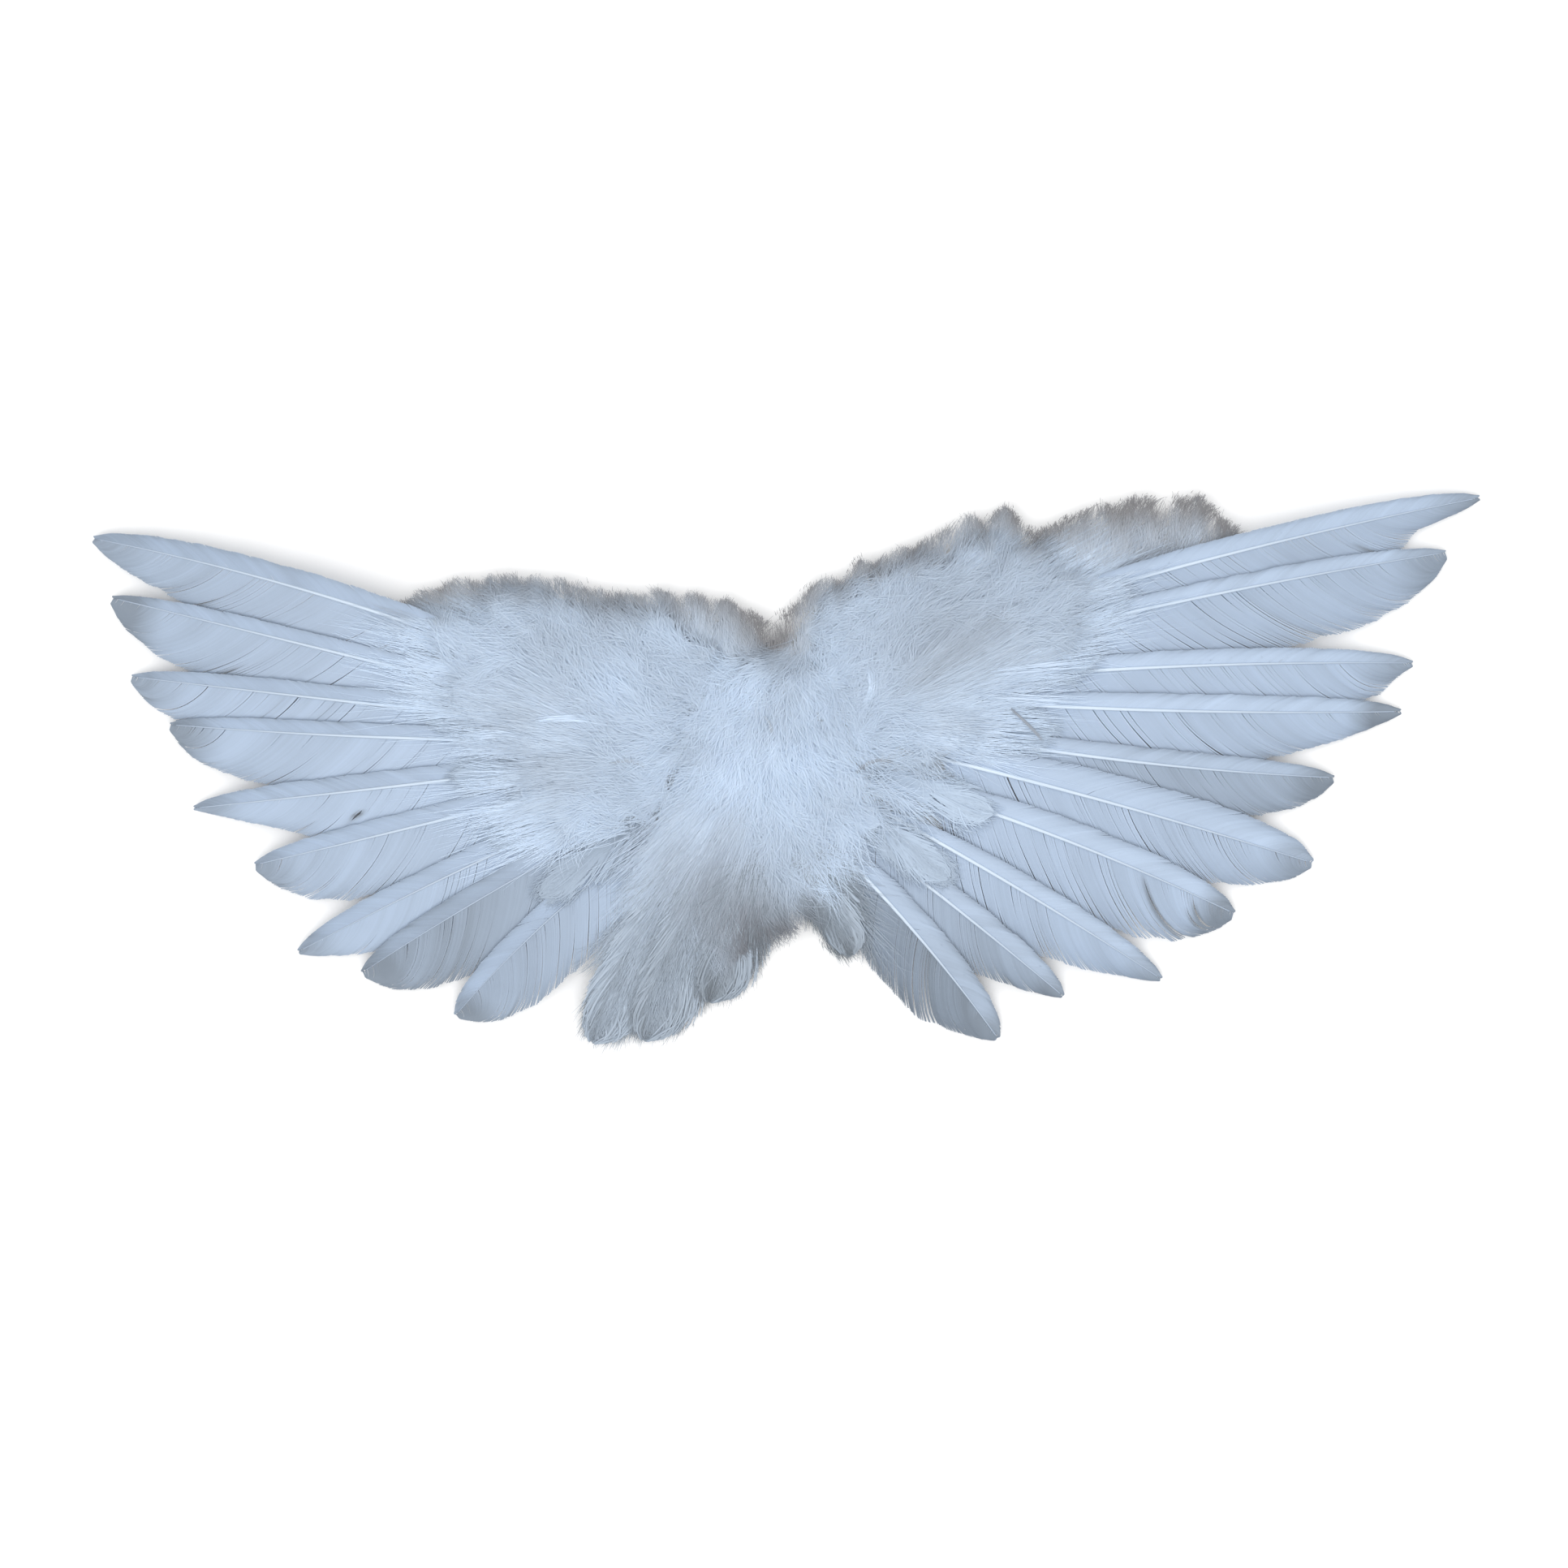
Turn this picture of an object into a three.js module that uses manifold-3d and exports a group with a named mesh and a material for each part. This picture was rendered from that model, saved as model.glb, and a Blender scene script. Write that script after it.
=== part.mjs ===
// A pair of small feather wings for dressing up, as they lie on a table with their feathers up.
// Each wing is a fan of flight feathers that overlap like roof tiles, every feather over the one above it.
// The quills are stuck to a plain butterfly panel, on a ruff of down that shows along the top edge.
// Short covert feathers and three masses of down hide the quills. A folded elastic lies under the panel.
// Millimetres, +X towards the right wing, +Y towards the top edge, +Z up from the table.
import * as THREE from "three";
import { mergeVertices } from "three/addons/utils/BufferGeometryUtils.js";
import Module from "manifold-3d";

const wasm = await Module();
wasm.setup();

// Gaps between pieces that touch
const CLEARANCE = 0.4;

// Backing panel, and the elastic that is sewn across its back
const PANEL_REACH = 66;
const PANEL_TOP = 42;
const PANEL_NOTCH = 26;
const PANEL_BOTTOM = 30;
const PANEL_THICKNESS = 2;
const ELASTIC_INSET = 2;
const ELASTIC_REACH = PANEL_REACH - ELASTIC_INSET;
const ELASTIC_WIDTH = 12;
const ELASTIC_THICKNESS = 1;
const ELASTIC_SLIT = 0.6;
const ELASTIC_SEAM = 20;
const ELASTIC_UP = 6;

// Flight feathers
const LEFT_REACH = 194;
const LEFT_ROOT = 57;
const LEFT_HUB_OUT = 9;
const LEFT_HUB_UP = 4.5;
const RIGHT_REACH = 226;
const RIGHT_ROOT = 83;
const RIGHT_HUB_OUT = -23;
const RIGHT_HUB_UP = 15;
const LEAD_VANE = 5.4;
const TRAIL_VANE = 17;
const VANE_THICKNESS = 0.6;
const SHAFT_WIDTH = 2.2;
const SHAFT_RISE = 0.4;
const FEATHER_ARCH = 5;
const TIP_DROP = 3.8;

// Covert feathers
const COVERT_REACH = 98;
const COVERT_ROOT = 40;
const COVERT_LEAD = 4;
const COVERT_TRAIL = 7;

// Ruff and down
const RUFF_RISE = 52;
const RUFF_OUT = 118;
const RUFF_BASE = 1.6;
const RUFF_LOFT = 3;
const RUFF_LOCK = 15;
const DOWN_REACH = 50;
const DOWN_LOFT = 7;
const DOWN_LOCK = 17;

// The order in which flight feathers overlap takes one pitch of height for each feather.
const PITCH = VANE_THICKNESS + SHAFT_RISE + CLEARANCE;

// Each row of a table becomes an object with the named columns.
const table = (columns, rows) => rows.map((row) => Object.fromEntries(columns.map((c, i) => [c, row[i]])));

// Feathers are placed by bearing, in degrees above the outward direction, and by reach from their wing's hub.
// Reaches and vane widths are shares of the named sizes, a bow is a share of the feather's length, and the
// taper is the share of its wide vane that a feather loses by its tip.
const FEATHER = ["name", "tipAngle", "tip", "rootAngle", "root", "bow", "lead", "trail", "taper"];
const LEFT_WING = {
  side: -1,
  hub: new THREE.Vector2(LEFT_HUB_OUT, LEFT_HUB_UP),
  reach: LEFT_REACH,
  rootReach: LEFT_ROOT,
  flights: table(FEATHER, [
    ["flight_left_1", 17.8, 1.01, 20, 1.0, 0.024, 0.94, 0.9, 0.3],
    ["flight_left_2", 13.4, 0.96, 12.5, 0.94, 0.0, 0.7, 1.0, 0],
    ["flight_left_3", 6.8, 0.912, 8, 0.83, -0.002, 0.74, 0.92, 0],
    ["flight_left_4", 2.6, 0.85, 4, 0.74, -0.012, 0.7, 0.97, 0],
    ["flight_left_5", -5.8, 0.82, -3.5, 0.7, -0.004, 0.84, 0.86, 0.5],
    ["flight_left_6", -12.8, 0.745, -10, 0.68, -0.004, 0.84, 0.98, 0],
    ["flight_left_7", -23.7, 0.725, -19, 0.66, 0.01, 0.86, 0.88, 0.2],
    ["flight_left_8", -29.4, 0.655, -28, 0.62, 0.014, 0.84, 1.02, 0],
    ["flight_left_9", -41.4, 0.58, -40, 0.6, 0.03, 0.9, 0.9, 0],
    ["plume_left_1", -60.6, 0.485, -57, 0.56, 0.02, 1.3, 0.8, 0],
    ["plume_left_2", -68.8, 0.45, -73, 0.5, 0.03, 1.2, 0.8, 0],
    ["plume_left_3", -79.5, 0.37, -92, 0.46, 0.01, 1.1, 0.7, 0],
  ]),
  coverts: table(FEATHER, [
    ["covert_left_1", 15, 1.0, 17, 1.0, 0.02, 1.0, 1.0, 0],
    ["covert_left_2", 6, 0.93, 8, 0.9, 0.02, 1.0, 1.0, 0],
    ["covert_left_3", -5, 0.86, -3, 0.84, 0.02, 1.0, 1.0, 0],
    ["covert_left_4", -18, 0.8, -16, 0.8, 0.02, 1.0, 1.0, 0],
    ["covert_left_5", -34, 0.74, -32, 0.76, 0.02, 1.0, 1.0, 0],
  ]),
};
const RIGHT_WING = {
  side: 1,
  hub: new THREE.Vector2(RIGHT_HUB_OUT, RIGHT_HUB_UP),
  reach: RIGHT_REACH,
  rootReach: RIGHT_ROOT,
  flights: table(FEATHER, [
    ["flight_right_1", 15.6, 1.003, 18, 1.0, 0.012, 0.88, 0.84, 0.3],
    ["flight_right_2", 12.3, 0.945, 13.5, 0.91, 0.01, 0.74, 1.08, 0],
    ["flight_right_3", 4.1, 0.885, 7.5, 0.82, 0.012, 0.82, 0.9, 0],
    ["flight_right_4", 0.2, 0.868, 3.5, 0.78, -0.012, 0.88, 0.96, 0.6],
    ["flight_right_5", -5.8, 0.788, -4.5, 0.77, -0.018, 0.8, 0.8, 0],
    ["flight_right_6", -13.8, 0.78, -10.5, 0.73, 0.008, 1.5, 0.86, 0],
    ["flight_right_7", -20.7, 0.705, -19.5, 0.7, 0.018, 1.1, 1.1, 0],
    ["flight_right_8", -30.2, 0.658, -29, 0.62, 0.012, 0.84, 0.78, 0],
    ["flight_right_9", -38.3, 0.568, -38, 0.58, 0.008, 0.9, 0.72, 0],
    ["flight_right_10", -48, 0.545, -46, 0.54, 0.024, 1.1, 0.94, 0],
    ["plume_right_1", -59, 0.352, -53, 0.52, 0.0, 1.5, 0.3, 0],
  ]),
  coverts: table(FEATHER, [
    ["covert_right_1", 16, 1.26, 18, 1.9, 0.02, 1.0, 1.0, 0],
    ["covert_right_2", 8.5, 1.14, 11, 1.75, 0.02, 1.0, 1.0, 0],
    ["covert_right_3", -3, 1.0, 0, 1.6, 0.02, 1.0, 1.0, 0],
    ["covert_right_4", -19, 0.87, -20, 1.15, 0.02, 1.0, 1.2, 0],
    ["covert_right_5", -34, 0.84, -32, 1.3, 0.02, 1.0, 1.0, 0],
  ]),
};

// Along a feather from the quill's end to the tip: vane widths as shares of the full widths
const VANE = table(
  ["along", "lead", "trail"],
  [
    [0.02, 0, 0],
    [0.08, 0.3, 0.2],
    [0.18, 0.68, 0.58],
    [0.33, 0.93, 0.88],
    [0.5, 1.0, 1.0],
    [0.66, 1.0, 1.0],
    [0.79, 0.95, 0.92],
    [0.89, 0.78, 0.72],
    [0.955, 0.54, 0.46],
    [0.99, 0.28, 0.24],
  ],
);
const TAPER_START = 0.6;

// Along a lock of down from its root to its tip: width and thickness as shares
const LOCK = table(
  ["along", "width", "loft"],
  [
    [0.06, 0.5, 0.6],
    [0.45, 1.0, 1.0],
    [0.82, 0.8, 0.5],
    [0.98, 0.3, 0.2],
  ],
);

// The ruff's locks, by root and tip, measured out and up from the middle of the panel as shares of RUFF_OUT
// and RUFF_RISE
const RUFF_LOCKS = ["rootOut", "rootUp", "tipOut", "tipUp"];
const LEFT_RUFF = {
  middle: new THREE.Vector2(0.3, 0.4),
  spread: new THREE.Vector2(0.27, 0.3),
  locks: table(RUFF_LOCKS, [
    [0.46, 0.4, 0.94, 0.84],
    [0.44, 0.44, 0.89, 0.94],
    [0.42, 0.47, 0.81, 1.0],
    [0.38, 0.5, 0.72, 1.03],
    [0.34, 0.5, 0.62, 1.02],
    [0.3, 0.5, 0.52, 0.96],
    [0.26, 0.5, 0.42, 0.94],
    [0.22, 0.48, 0.33, 0.96],
    [0.17, 0.46, 0.24, 0.95],
    [0.13, 0.42, 0.16, 0.92],
    [0.1, 0.36, 0.09, 0.85],
    [0.06, 0.3, 0.03, 0.79],
  ]),
};
const RIGHT_RUFF = {
  middle: new THREE.Vector2(0.3, 0.46),
  spread: new THREE.Vector2(0.27, 0.3),
  locks: table(RUFF_LOCKS, [
    [0.05, 0.3, 0.03, 0.89],
    [0.08, 0.38, 0.1, 1.04],
    [0.12, 0.44, 0.19, 1.12],
    [0.16, 0.5, 0.28, 1.2],
    [0.22, 0.52, 0.36, 1.25],
    [0.28, 0.56, 0.44, 1.38],
    [0.33, 0.58, 0.53, 1.4],
    [0.38, 0.6, 0.62, 1.26],
    [0.41, 0.6, 0.7, 1.34],
    [0.43, 0.6, 0.77, 1.43],
    [0.45, 0.6, 0.86, 1.46],
    [0.46, 0.58, 0.94, 1.47],
    [0.47, 0.55, 1.0, 1.45],
    [0.48, 0.52, 1.08, 1.3],
  ]),
};

// The three masses of down over the quills: where each has its middle and how far it spreads, and its locks'
// bearings in degrees and reaches, all lengths as shares of DOWN_REACH
const DOWN_LOCKS = ["angle", "reach"];
const LEFT_DOWN = {
  name: "down_left",
  middle: new THREE.Vector2(-1.08, 0.34),
  spread: new THREE.Vector2(0.6, 0.46),
  locks: table(DOWN_LOCKS, [
    [23, 0.78],
    [49, 0.7],
    [79, 0.58],
    [111, 0.68],
    [133, 0.86],
    [154, 1.02],
    [174, 0.84],
    [194, 0.54],
    [214, 0.56],
    [234, 0.68],
    [258, 0.78],
    [271, 0.74],
    [285, 0.7],
    [312, 0.68],
  ]),
};
const RIGHT_DOWN = {
  name: "down_right",
  middle: new THREE.Vector2(0.74, 0.62),
  spread: new THREE.Vector2(0.52, 0.44),
  locks: table(DOWN_LOCKS, [
    [-140, 0.62],
    [-110, 0.68],
    [-88, 0.64],
    [-67, 0.6],
    [-36, 0.46],
    [-8, 0.6],
    [9, 0.92],
    [23, 1.04],
    [39, 0.94],
    [58, 0.76],
    [88, 0.56],
    [120, 0.54],
    [150, 0.62],
    [178, 0.6],
  ]),
};
const CENTRE_DOWN = {
  name: "down_centre",
  middle: new THREE.Vector2(-0.18, -0.12),
  spread: new THREE.Vector2(0.44, 0.48),
  locks: table(DOWN_LOCKS, [
    [34, 0.74],
    [6, 0.74],
    [-16, 0.78],
    [-36, 0.72],
    [-58, 0.76],
    [-80, 0.88],
    [-102, 0.94],
    [-124, 0.84],
    [-137, 0.96],
    [-148, 0.86],
    [-168, 0.74],
    [165, 0.6],
    [118, 0.72],
    [90, 0.76],
    [62, 0.78],
  ]),
};
// Where the middle mass meets the side ones, one DOWN_REACH above and below the middle
const LEFT_PARTING = { top: -0.24, bottom: -1.04 };
const RIGHT_PARTING = { top: 0.08, bottom: 0.8 };

// Directions and smooth tables
const ORIGIN = new THREE.Vector2();
const unit = (degrees) => new THREE.Vector2(1, 0).rotateAround(ORIGIN, THREE.MathUtils.degToRad(degrees));
const bearing = (v) => THREE.MathUtils.radToDeg(Math.atan2(v.y, v.x));

// Straight lines through the points of a table, carried on past its ends
function through(points, x) {
  let i = 1;
  while (i < points.length - 1 && x > points[i][0]) i++;
  const [[x0, y0], [x1, y1]] = [points[i - 1], points[i]];
  return y0 + ((x - x0) * (y1 - y0)) / (x1 - x0);
}

// The same lines with their corners rounded off
const SMOOTHING = [-4, -2, 0, 2, 4];
const smooth = (points, x) =>
  SMOOTHING.reduce((sum, step) => sum + through(points, x + step), 0) / SMOOTHING.length;

// Where a wing's own outward and upward measures from its hub are in the part's frame
const outward = (wing, v) => new THREE.Vector2(wing.side * (wing.hub.x + v.x), wing.hub.y + v.y);
const fromHub = (wing, x, y) => new THREE.Vector2(wing.side * x - wing.hub.x, y - wing.hub.y);

// A feather's middle bearing, which leans from its shaft towards the wide vane
const VANE_LEAN = 2;
const middleAngle = (row) => (row.tipAngle + row.rootAngle) / 2 - VANE_LEAN;

// The place in the overlap that belongs to a bearing: 0 at the top feather, 1 at the next, and so on
const placeAt = (wing, angle) =>
  smooth(wing.flights.map((row, i) => [middleAngle(row), i]).reverse(), angle);

// The surface that a wing's feathers lie along: flat on the panel, arched past it and lower at the tips
const ARCH_START = 0.25;
function archAt(wing, x, y) {
  const v = fromHub(wing, x, y);
  const tips = wing.flights.map((row) => [row.tipAngle, row.tip * wing.reach]).reverse();
  const reach = smooth(tips, bearing(v));
  const share = THREE.MathUtils.clamp((v.length() / reach - ARCH_START) / (1 - ARCH_START), 0, 1);
  return FEATHER_ARCH * Math.sin(Math.PI * share) - TIP_DROP * share * share;
}

// One feather's own surface. It gains a pitch of height for each place in the overlap and loses it again with
// the bearing, so that all the feathers lie level and no two of them meet.
const layerAt = (wing, place, x, y) =>
  archAt(wing, x, y) + PITCH * (place - placeAt(wing, bearing(fromHub(wing, x, y))));

// A closed geometry from vertices and faces, its faces turned outwards
function closed(points, faces) {
  const volume = faces.reduce((sum, [a, b, c]) => sum + points[a].dot(points[b].clone().cross(points[c])), 0);
  const turned = volume < 0 ? faces.map(([a, b, c]) => [a, c, b]) : faces;
  const geometry = new THREE.BufferGeometry().setFromPoints(points);
  geometry.setIndex(turned.flat());
  return geometry;
}

// A thin pointed solid: the top and bottom are two sheets of section rows that share both rims and both ends.
// A section gives its top and bottom rows of points from rim to rim, and the ends are single points.
function leaf(start, sections, end) {
  const points = [start, end];
  const faces = [];
  const rows = sections.map(({ top, bottom }) => {
    const over = top.map((p) => points.push(p) - 1);
    const under = bottom.slice(1, -1).map((p) => points.push(p) - 1);
    return { over, under: [over[0], ...under, over[over.length - 1]] };
  });
  const strip = (a, b, sheet) => {
    for (let i = 1; i < a.length; i++)
      for (const face of [[a[i - 1], b[i - 1], b[i]], [a[i - 1], b[i], a[i]]])
        faces.push(sheet > 0 ? face : face.reverse());
  };
  const fan = (apex, row, sheet) => {
    for (let i = 1; i < row.length; i++) {
      const face = [apex, row[i - 1], row[i]];
      faces.push(sheet > 0 ? face : face.reverse());
    }
  };
  for (const [side, sheet] of [["over", 1], ["under", -1]]) {
    rows.slice(1).forEach((row, i) => strip(rows[i][side], row[side], sheet));
    fan(0, rows[0][side], sheet);
    fan(1, rows[rows.length - 1][side], -sheet);
  }
  return closed(points, faces);
}

// A feather along a bowed shaft from root to tip: two vanes, a raised shaft and a bare quill.
// The table gives the vanes' shares, and surface(x, y) the height of the underside. The shaft's width and
// rise taper by the same share, and the wide vane is a little thinner halfway out.
const SHAFT_TAPER = 0.5;
const HALFWAY_THICKNESS = 0.8 * VANE_THICKNESS;
function feather(root, tip, side, bow, leadVane, trailVane, taper, surface) {
  const chord = tip.clone().sub(root);
  const length = chord.length();
  const along = chord.clone().normalize();
  const ahead = new THREE.Vector2(-along.y, along.x).multiplyScalar(side);
  const spine = (t) =>
    root
      .clone()
      .addScaledVector(chord, t)
      .addScaledVector(ahead, 4 * bow * length * t * (1 - t));
  const point = (t, offset, thickness) => {
    const slope = 4 * bow * (1 - 2 * t);
    const across = ahead.clone().addScaledVector(along, -slope).normalize();
    const p = spine(t).addScaledVector(across, offset);
    return new THREE.Vector3(p.x, p.y, surface(p.x, p.y) + thickness);
  };
  const quill = SHAFT_WIDTH / 2;
  const sections = VANE.map((row) => {
    const lead = Math.max(row.lead * leadVane, Math.min(quill, (1 - row.along) * length));
    const kept = 1 - (taper * Math.max(0, row.along - TAPER_START)) / (1 - TAPER_START);
    const trail = Math.max(row.trail * trailVane * kept, Math.min(quill, (1 - row.along) * length));
    const tapered = 1 - SHAFT_TAPER * row.along;
    const shaft = Math.min(quill * tapered, lead / 2);
    const halfway = (trail + shaft) / 2;
    return {
      top: [
        point(row.along, lead, 0),
        point(row.along, shaft, VANE_THICKNESS),
        point(row.along, 0, VANE_THICKNESS + SHAFT_RISE * tapered),
        point(row.along, -shaft, VANE_THICKNESS),
        point(row.along, -halfway, HALFWAY_THICKNESS),
        point(row.along, -trail, 0),
      ],
      bottom: [
        point(row.along, lead, 0),
        point(row.along, 0, 0),
        point(row.along, -halfway, 0),
        point(row.along, -trail, 0),
      ],
    };
  });
  return leaf(point(0, 0, 0), sections, point(1, 0, 0));
}

// A lock of down: a soft tapering strip with a rounded back, on surface(x, y)
function lock(root, tip, width, loft, surface) {
  const chord = tip.clone().sub(root);
  const across = new THREE.Vector2(-chord.y, chord.x).normalize();
  const point = (t, offset, thickness) => {
    const p = root.clone().addScaledVector(chord, t).addScaledVector(across, offset);
    return new THREE.Vector3(p.x, p.y, surface(p.x, p.y) + thickness);
  };
  const sections = LOCK.map((row) => {
    const half = (row.width * width) / 2;
    const rims = [point(row.along, half, 0), point(row.along, -half, 0)];
    return { top: [rims[0], point(row.along, 0, row.loft * loft), rims[1]], bottom: rims };
  });
  return leaf(point(0, 0, 0), sections, point(1, 0, 0));
}

// A low oval mound on surface(x, y), flat below and domed above
function mound(middle, radii, loft, surface) {
  const SPOKES = 16;
  const RINGS = [1, 0.75, 0.4];
  const points = [];
  const faces = [];
  const put = (share, spoke, raised) => {
    const turn = (spoke / SPOKES) * 2 * Math.PI;
    const x = middle.x + radii.x * share * Math.cos(turn);
    const y = middle.y + radii.y * share * Math.sin(turn);
    const height = raised ? loft * Math.sqrt(1 - share * share) : 0;
    return points.push(new THREE.Vector3(x, y, surface(x, y) + height)) - 1;
  };
  const spokes = [...Array(SPOKES).keys()];
  const rim = spokes.map((s) => put(RINGS[0], s, false));
  for (const raised of [true, false]) {
    const rings = [rim, ...RINGS.slice(1).map((share) => spokes.map((s) => put(share, s, raised)))];
    const crown = put(0, 0, raised);
    for (const s of spokes) {
      const next = (s + 1) % SPOKES;
      const sheet = [];
      for (let r = 1; r < rings.length; r++) {
        const [outer, inner] = [rings[r - 1], rings[r]];
        sheet.push([outer[s], outer[next], inner[next]], [outer[s], inner[next], inner[s]]);
      }
      const last = rings[rings.length - 1];
      sheet.push([last[s], last[next], crown]);
      faces.push(...(raised ? sheet : sheet.map((face) => face.reverse())));
    }
  }
  return closed(points, faces);
}

// Joins and cuts, by way of manifold-3d
function solid(geometry) {
  const bare = geometry.clone();
  bare.deleteAttribute("normal");
  bare.deleteAttribute("uv");
  const merged = mergeVertices(bare);
  return new wasm.Manifold(
    new wasm.Mesh({
      numProp: 3,
      vertProperties: new Float32Array(merged.attributes.position.array),
      triVerts: new Uint32Array(merged.index.array),
    }),
  );
}
function geometryOf(made) {
  const mesh = made.getMesh();
  const geometry = new THREE.BufferGeometry();
  geometry.setAttribute("position", new THREE.BufferAttribute(new Float32Array(mesh.vertProperties), 3));
  geometry.setIndex(new THREE.BufferAttribute(new Uint32Array(mesh.triVerts), 1));
  return geometry;
}
const fused = (geometries) => geometries.map(solid).reduce((a, b) => a.add(b));

// A height map of pieces seen from above, on a grid of this step
const GRID = 1;
function heights(geometry, map, keep) {
  const flat = geometry.index ? geometry.toNonIndexed() : geometry;
  const position = flat.getAttribute("position");
  const [a, b, c] = [new THREE.Vector3(), new THREE.Vector3(), new THREE.Vector3()];
  for (let i = 0; i < position.count; i += 3) {
    [a, b, c].forEach((v, k) => v.fromBufferAttribute(position, i + k));
    const area = (b.x - a.x) * (c.y - a.y) - (c.x - a.x) * (b.y - a.y);
    if (Math.abs(area) < 1e-9) continue;
    for (let gx = Math.ceil(Math.min(a.x, b.x, c.x) / GRID); gx * GRID <= Math.max(a.x, b.x, c.x); gx++)
      for (let gy = Math.ceil(Math.min(a.y, b.y, c.y) / GRID); gy * GRID <= Math.max(a.y, b.y, c.y); gy++) {
        const [x, y] = [gx * GRID, gy * GRID];
        const u = ((x - a.x) * (c.y - a.y) - (c.x - a.x) * (y - a.y)) / area;
        const v = ((b.x - a.x) * (y - a.y) - (x - a.x) * (b.y - a.y)) / area;
        if (u < 0 || v < 0 || u + v > 1) continue;
        const z = a.z + u * (b.z - a.z) + v * (c.z - a.z);
        const cell = gx + "," + gy;
        map.set(cell, map.has(cell) ? keep(map.get(cell), z) : z);
      }
  }
  return map;
}

// Everything laid down so far, seen from above
const pile = new Map();

// Lowers or lifts pieces together until they rest on the pile with the clearance, and adds them to it.
function layOn(geometries) {
  const under = new Map();
  geometries.forEach((geometry) => heights(geometry, under, Math.min));
  let lift = -Infinity;
  for (const [cell, z] of under) if (pile.has(cell)) lift = Math.max(lift, pile.get(cell) - z);
  geometries.forEach((geometry) => {
    geometry.translate(0, 0, lift + CLEARANCE);
    heights(geometry, pile, Math.max);
  });
}

// Finishes
const finish = (color, roughness) => new THREE.MeshStandardMaterial({ color, roughness, metalness: 0 });
const FLIGHT_WHITE = finish(0xc8d4e4, 0.55);
const DOWN_WHITE = finish(0xccd8e8, 0.9);
const FELT_WHITE = finish(0xe4e6e8, 0.95);
const ELASTIC_WHITE = finish(0xf0f0f0, 0.8);
function piece(name, geometry, material) {
  const shaded = geometry.index ? geometry.toNonIndexed() : geometry.clone();
  shaded.computeVertexNormals();
  const mesh = new THREE.Mesh(shaded, material);
  mesh.name = name;
  return mesh;
}

// The elastic: one band folded flat into a loop for each shoulder, its runs sewn together in the middle
const ELASTIC_HEIGHT = 2 * ELASTIC_THICKNESS + ELASTIC_SLIT;
function elastic() {
  const FOLD_SEGMENTS = 4;
  const slab = (from, to, thickness) => {
    const radius = thickness / 2;
    const shape = new THREE.Shape();
    shape.absarc(to - radius, 0, radius, -Math.PI / 2, Math.PI / 2, false);
    shape.absarc(from + radius, 0, radius, Math.PI / 2, (3 * Math.PI) / 2, false);
    const options = { depth: 1, bevelEnabled: false, curveSegments: FOLD_SEGMENTS };
    return new THREE.ExtrudeGeometry(shape, options).rotateX(Math.PI / 2).translate(0, 0.5, 0);
  };
  const band = slab(-ELASTIC_REACH, ELASTIC_REACH, ELASTIC_HEIGHT).scale(1, ELASTIC_WIDTH, 1);
  const slits = [1, -1].map((side) => {
    const [near, far] = [side * (ELASTIC_SEAM / 2), side * (ELASTIC_REACH - ELASTIC_THICKNESS)];
    return slab(Math.min(near, far), Math.max(near, far), ELASTIC_SLIT).scale(1, 2 * ELASTIC_WIDTH, 1);
  });
  const cut = slits.map(solid).reduce((a, b) => a.subtract(b), solid(band));
  return geometryOf(cut).translate(0, ELASTIC_UP, ELASTIC_HEIGHT / 2);
}

// The backing panel: a plain butterfly outline, cut from stiff felt
function panel() {
  const CURVE_SEGMENTS = 6;
  const shape = new THREE.Shape();
  shape.moveTo(0, PANEL_NOTCH);
  shape.quadraticCurveTo(PANEL_REACH * 0.5, PANEL_TOP, PANEL_REACH * 0.85, PANEL_TOP);
  shape.quadraticCurveTo(PANEL_REACH, PANEL_TOP, PANEL_REACH, PANEL_TOP * 0.6);
  shape.quadraticCurveTo(PANEL_REACH, -PANEL_BOTTOM * 0.2, PANEL_REACH * 0.55, -PANEL_BOTTOM * 0.75);
  shape.quadraticCurveTo(PANEL_REACH * 0.25, -PANEL_BOTTOM, 0, -PANEL_BOTTOM);
  shape.quadraticCurveTo(-PANEL_REACH * 0.25, -PANEL_BOTTOM, -PANEL_REACH * 0.55, -PANEL_BOTTOM * 0.75);
  shape.quadraticCurveTo(-PANEL_REACH, -PANEL_BOTTOM * 0.2, -PANEL_REACH, PANEL_TOP * 0.6);
  shape.quadraticCurveTo(-PANEL_REACH, PANEL_TOP, -PANEL_REACH * 0.85, PANEL_TOP);
  shape.quadraticCurveTo(-PANEL_REACH * 0.5, PANEL_TOP, 0, PANEL_NOTCH);
  const options = { depth: PANEL_THICKNESS, bevelEnabled: false, curveSegments: CURVE_SEGMENTS };
  return new THREE.ExtrudeGeometry(shape, options);
}

// What lies on one side of a line: part of a solid kept by a big block whose face follows the line
function sideOf(line, side, gap) {
  const FAR = 300;
  const top = new THREE.Vector2(line.top, 1).multiplyScalar(DOWN_REACH);
  const bottom = new THREE.Vector2(line.bottom, -1).multiplyScalar(DOWN_REACH);
  const down = bottom.clone().sub(top).normalize();
  const above = top.clone().addScaledVector(down, -FAR);
  const below = bottom.clone().addScaledVector(down, FAR);
  const across = new THREE.Vector2(-down.y, down.x).multiplyScalar(side);
  const shape = new THREE.Shape([
    above.clone().addScaledVector(across, gap),
    below.clone().addScaledVector(across, gap),
    below.clone().addScaledVector(across, FAR),
    above.clone().addScaledVector(across, FAR),
  ]);
  const block = new THREE.ExtrudeGeometry(shape, { depth: 2 * FAR, bevelEnabled: false });
  return solid(block.translate(0, 0, -FAR));
}

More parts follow.
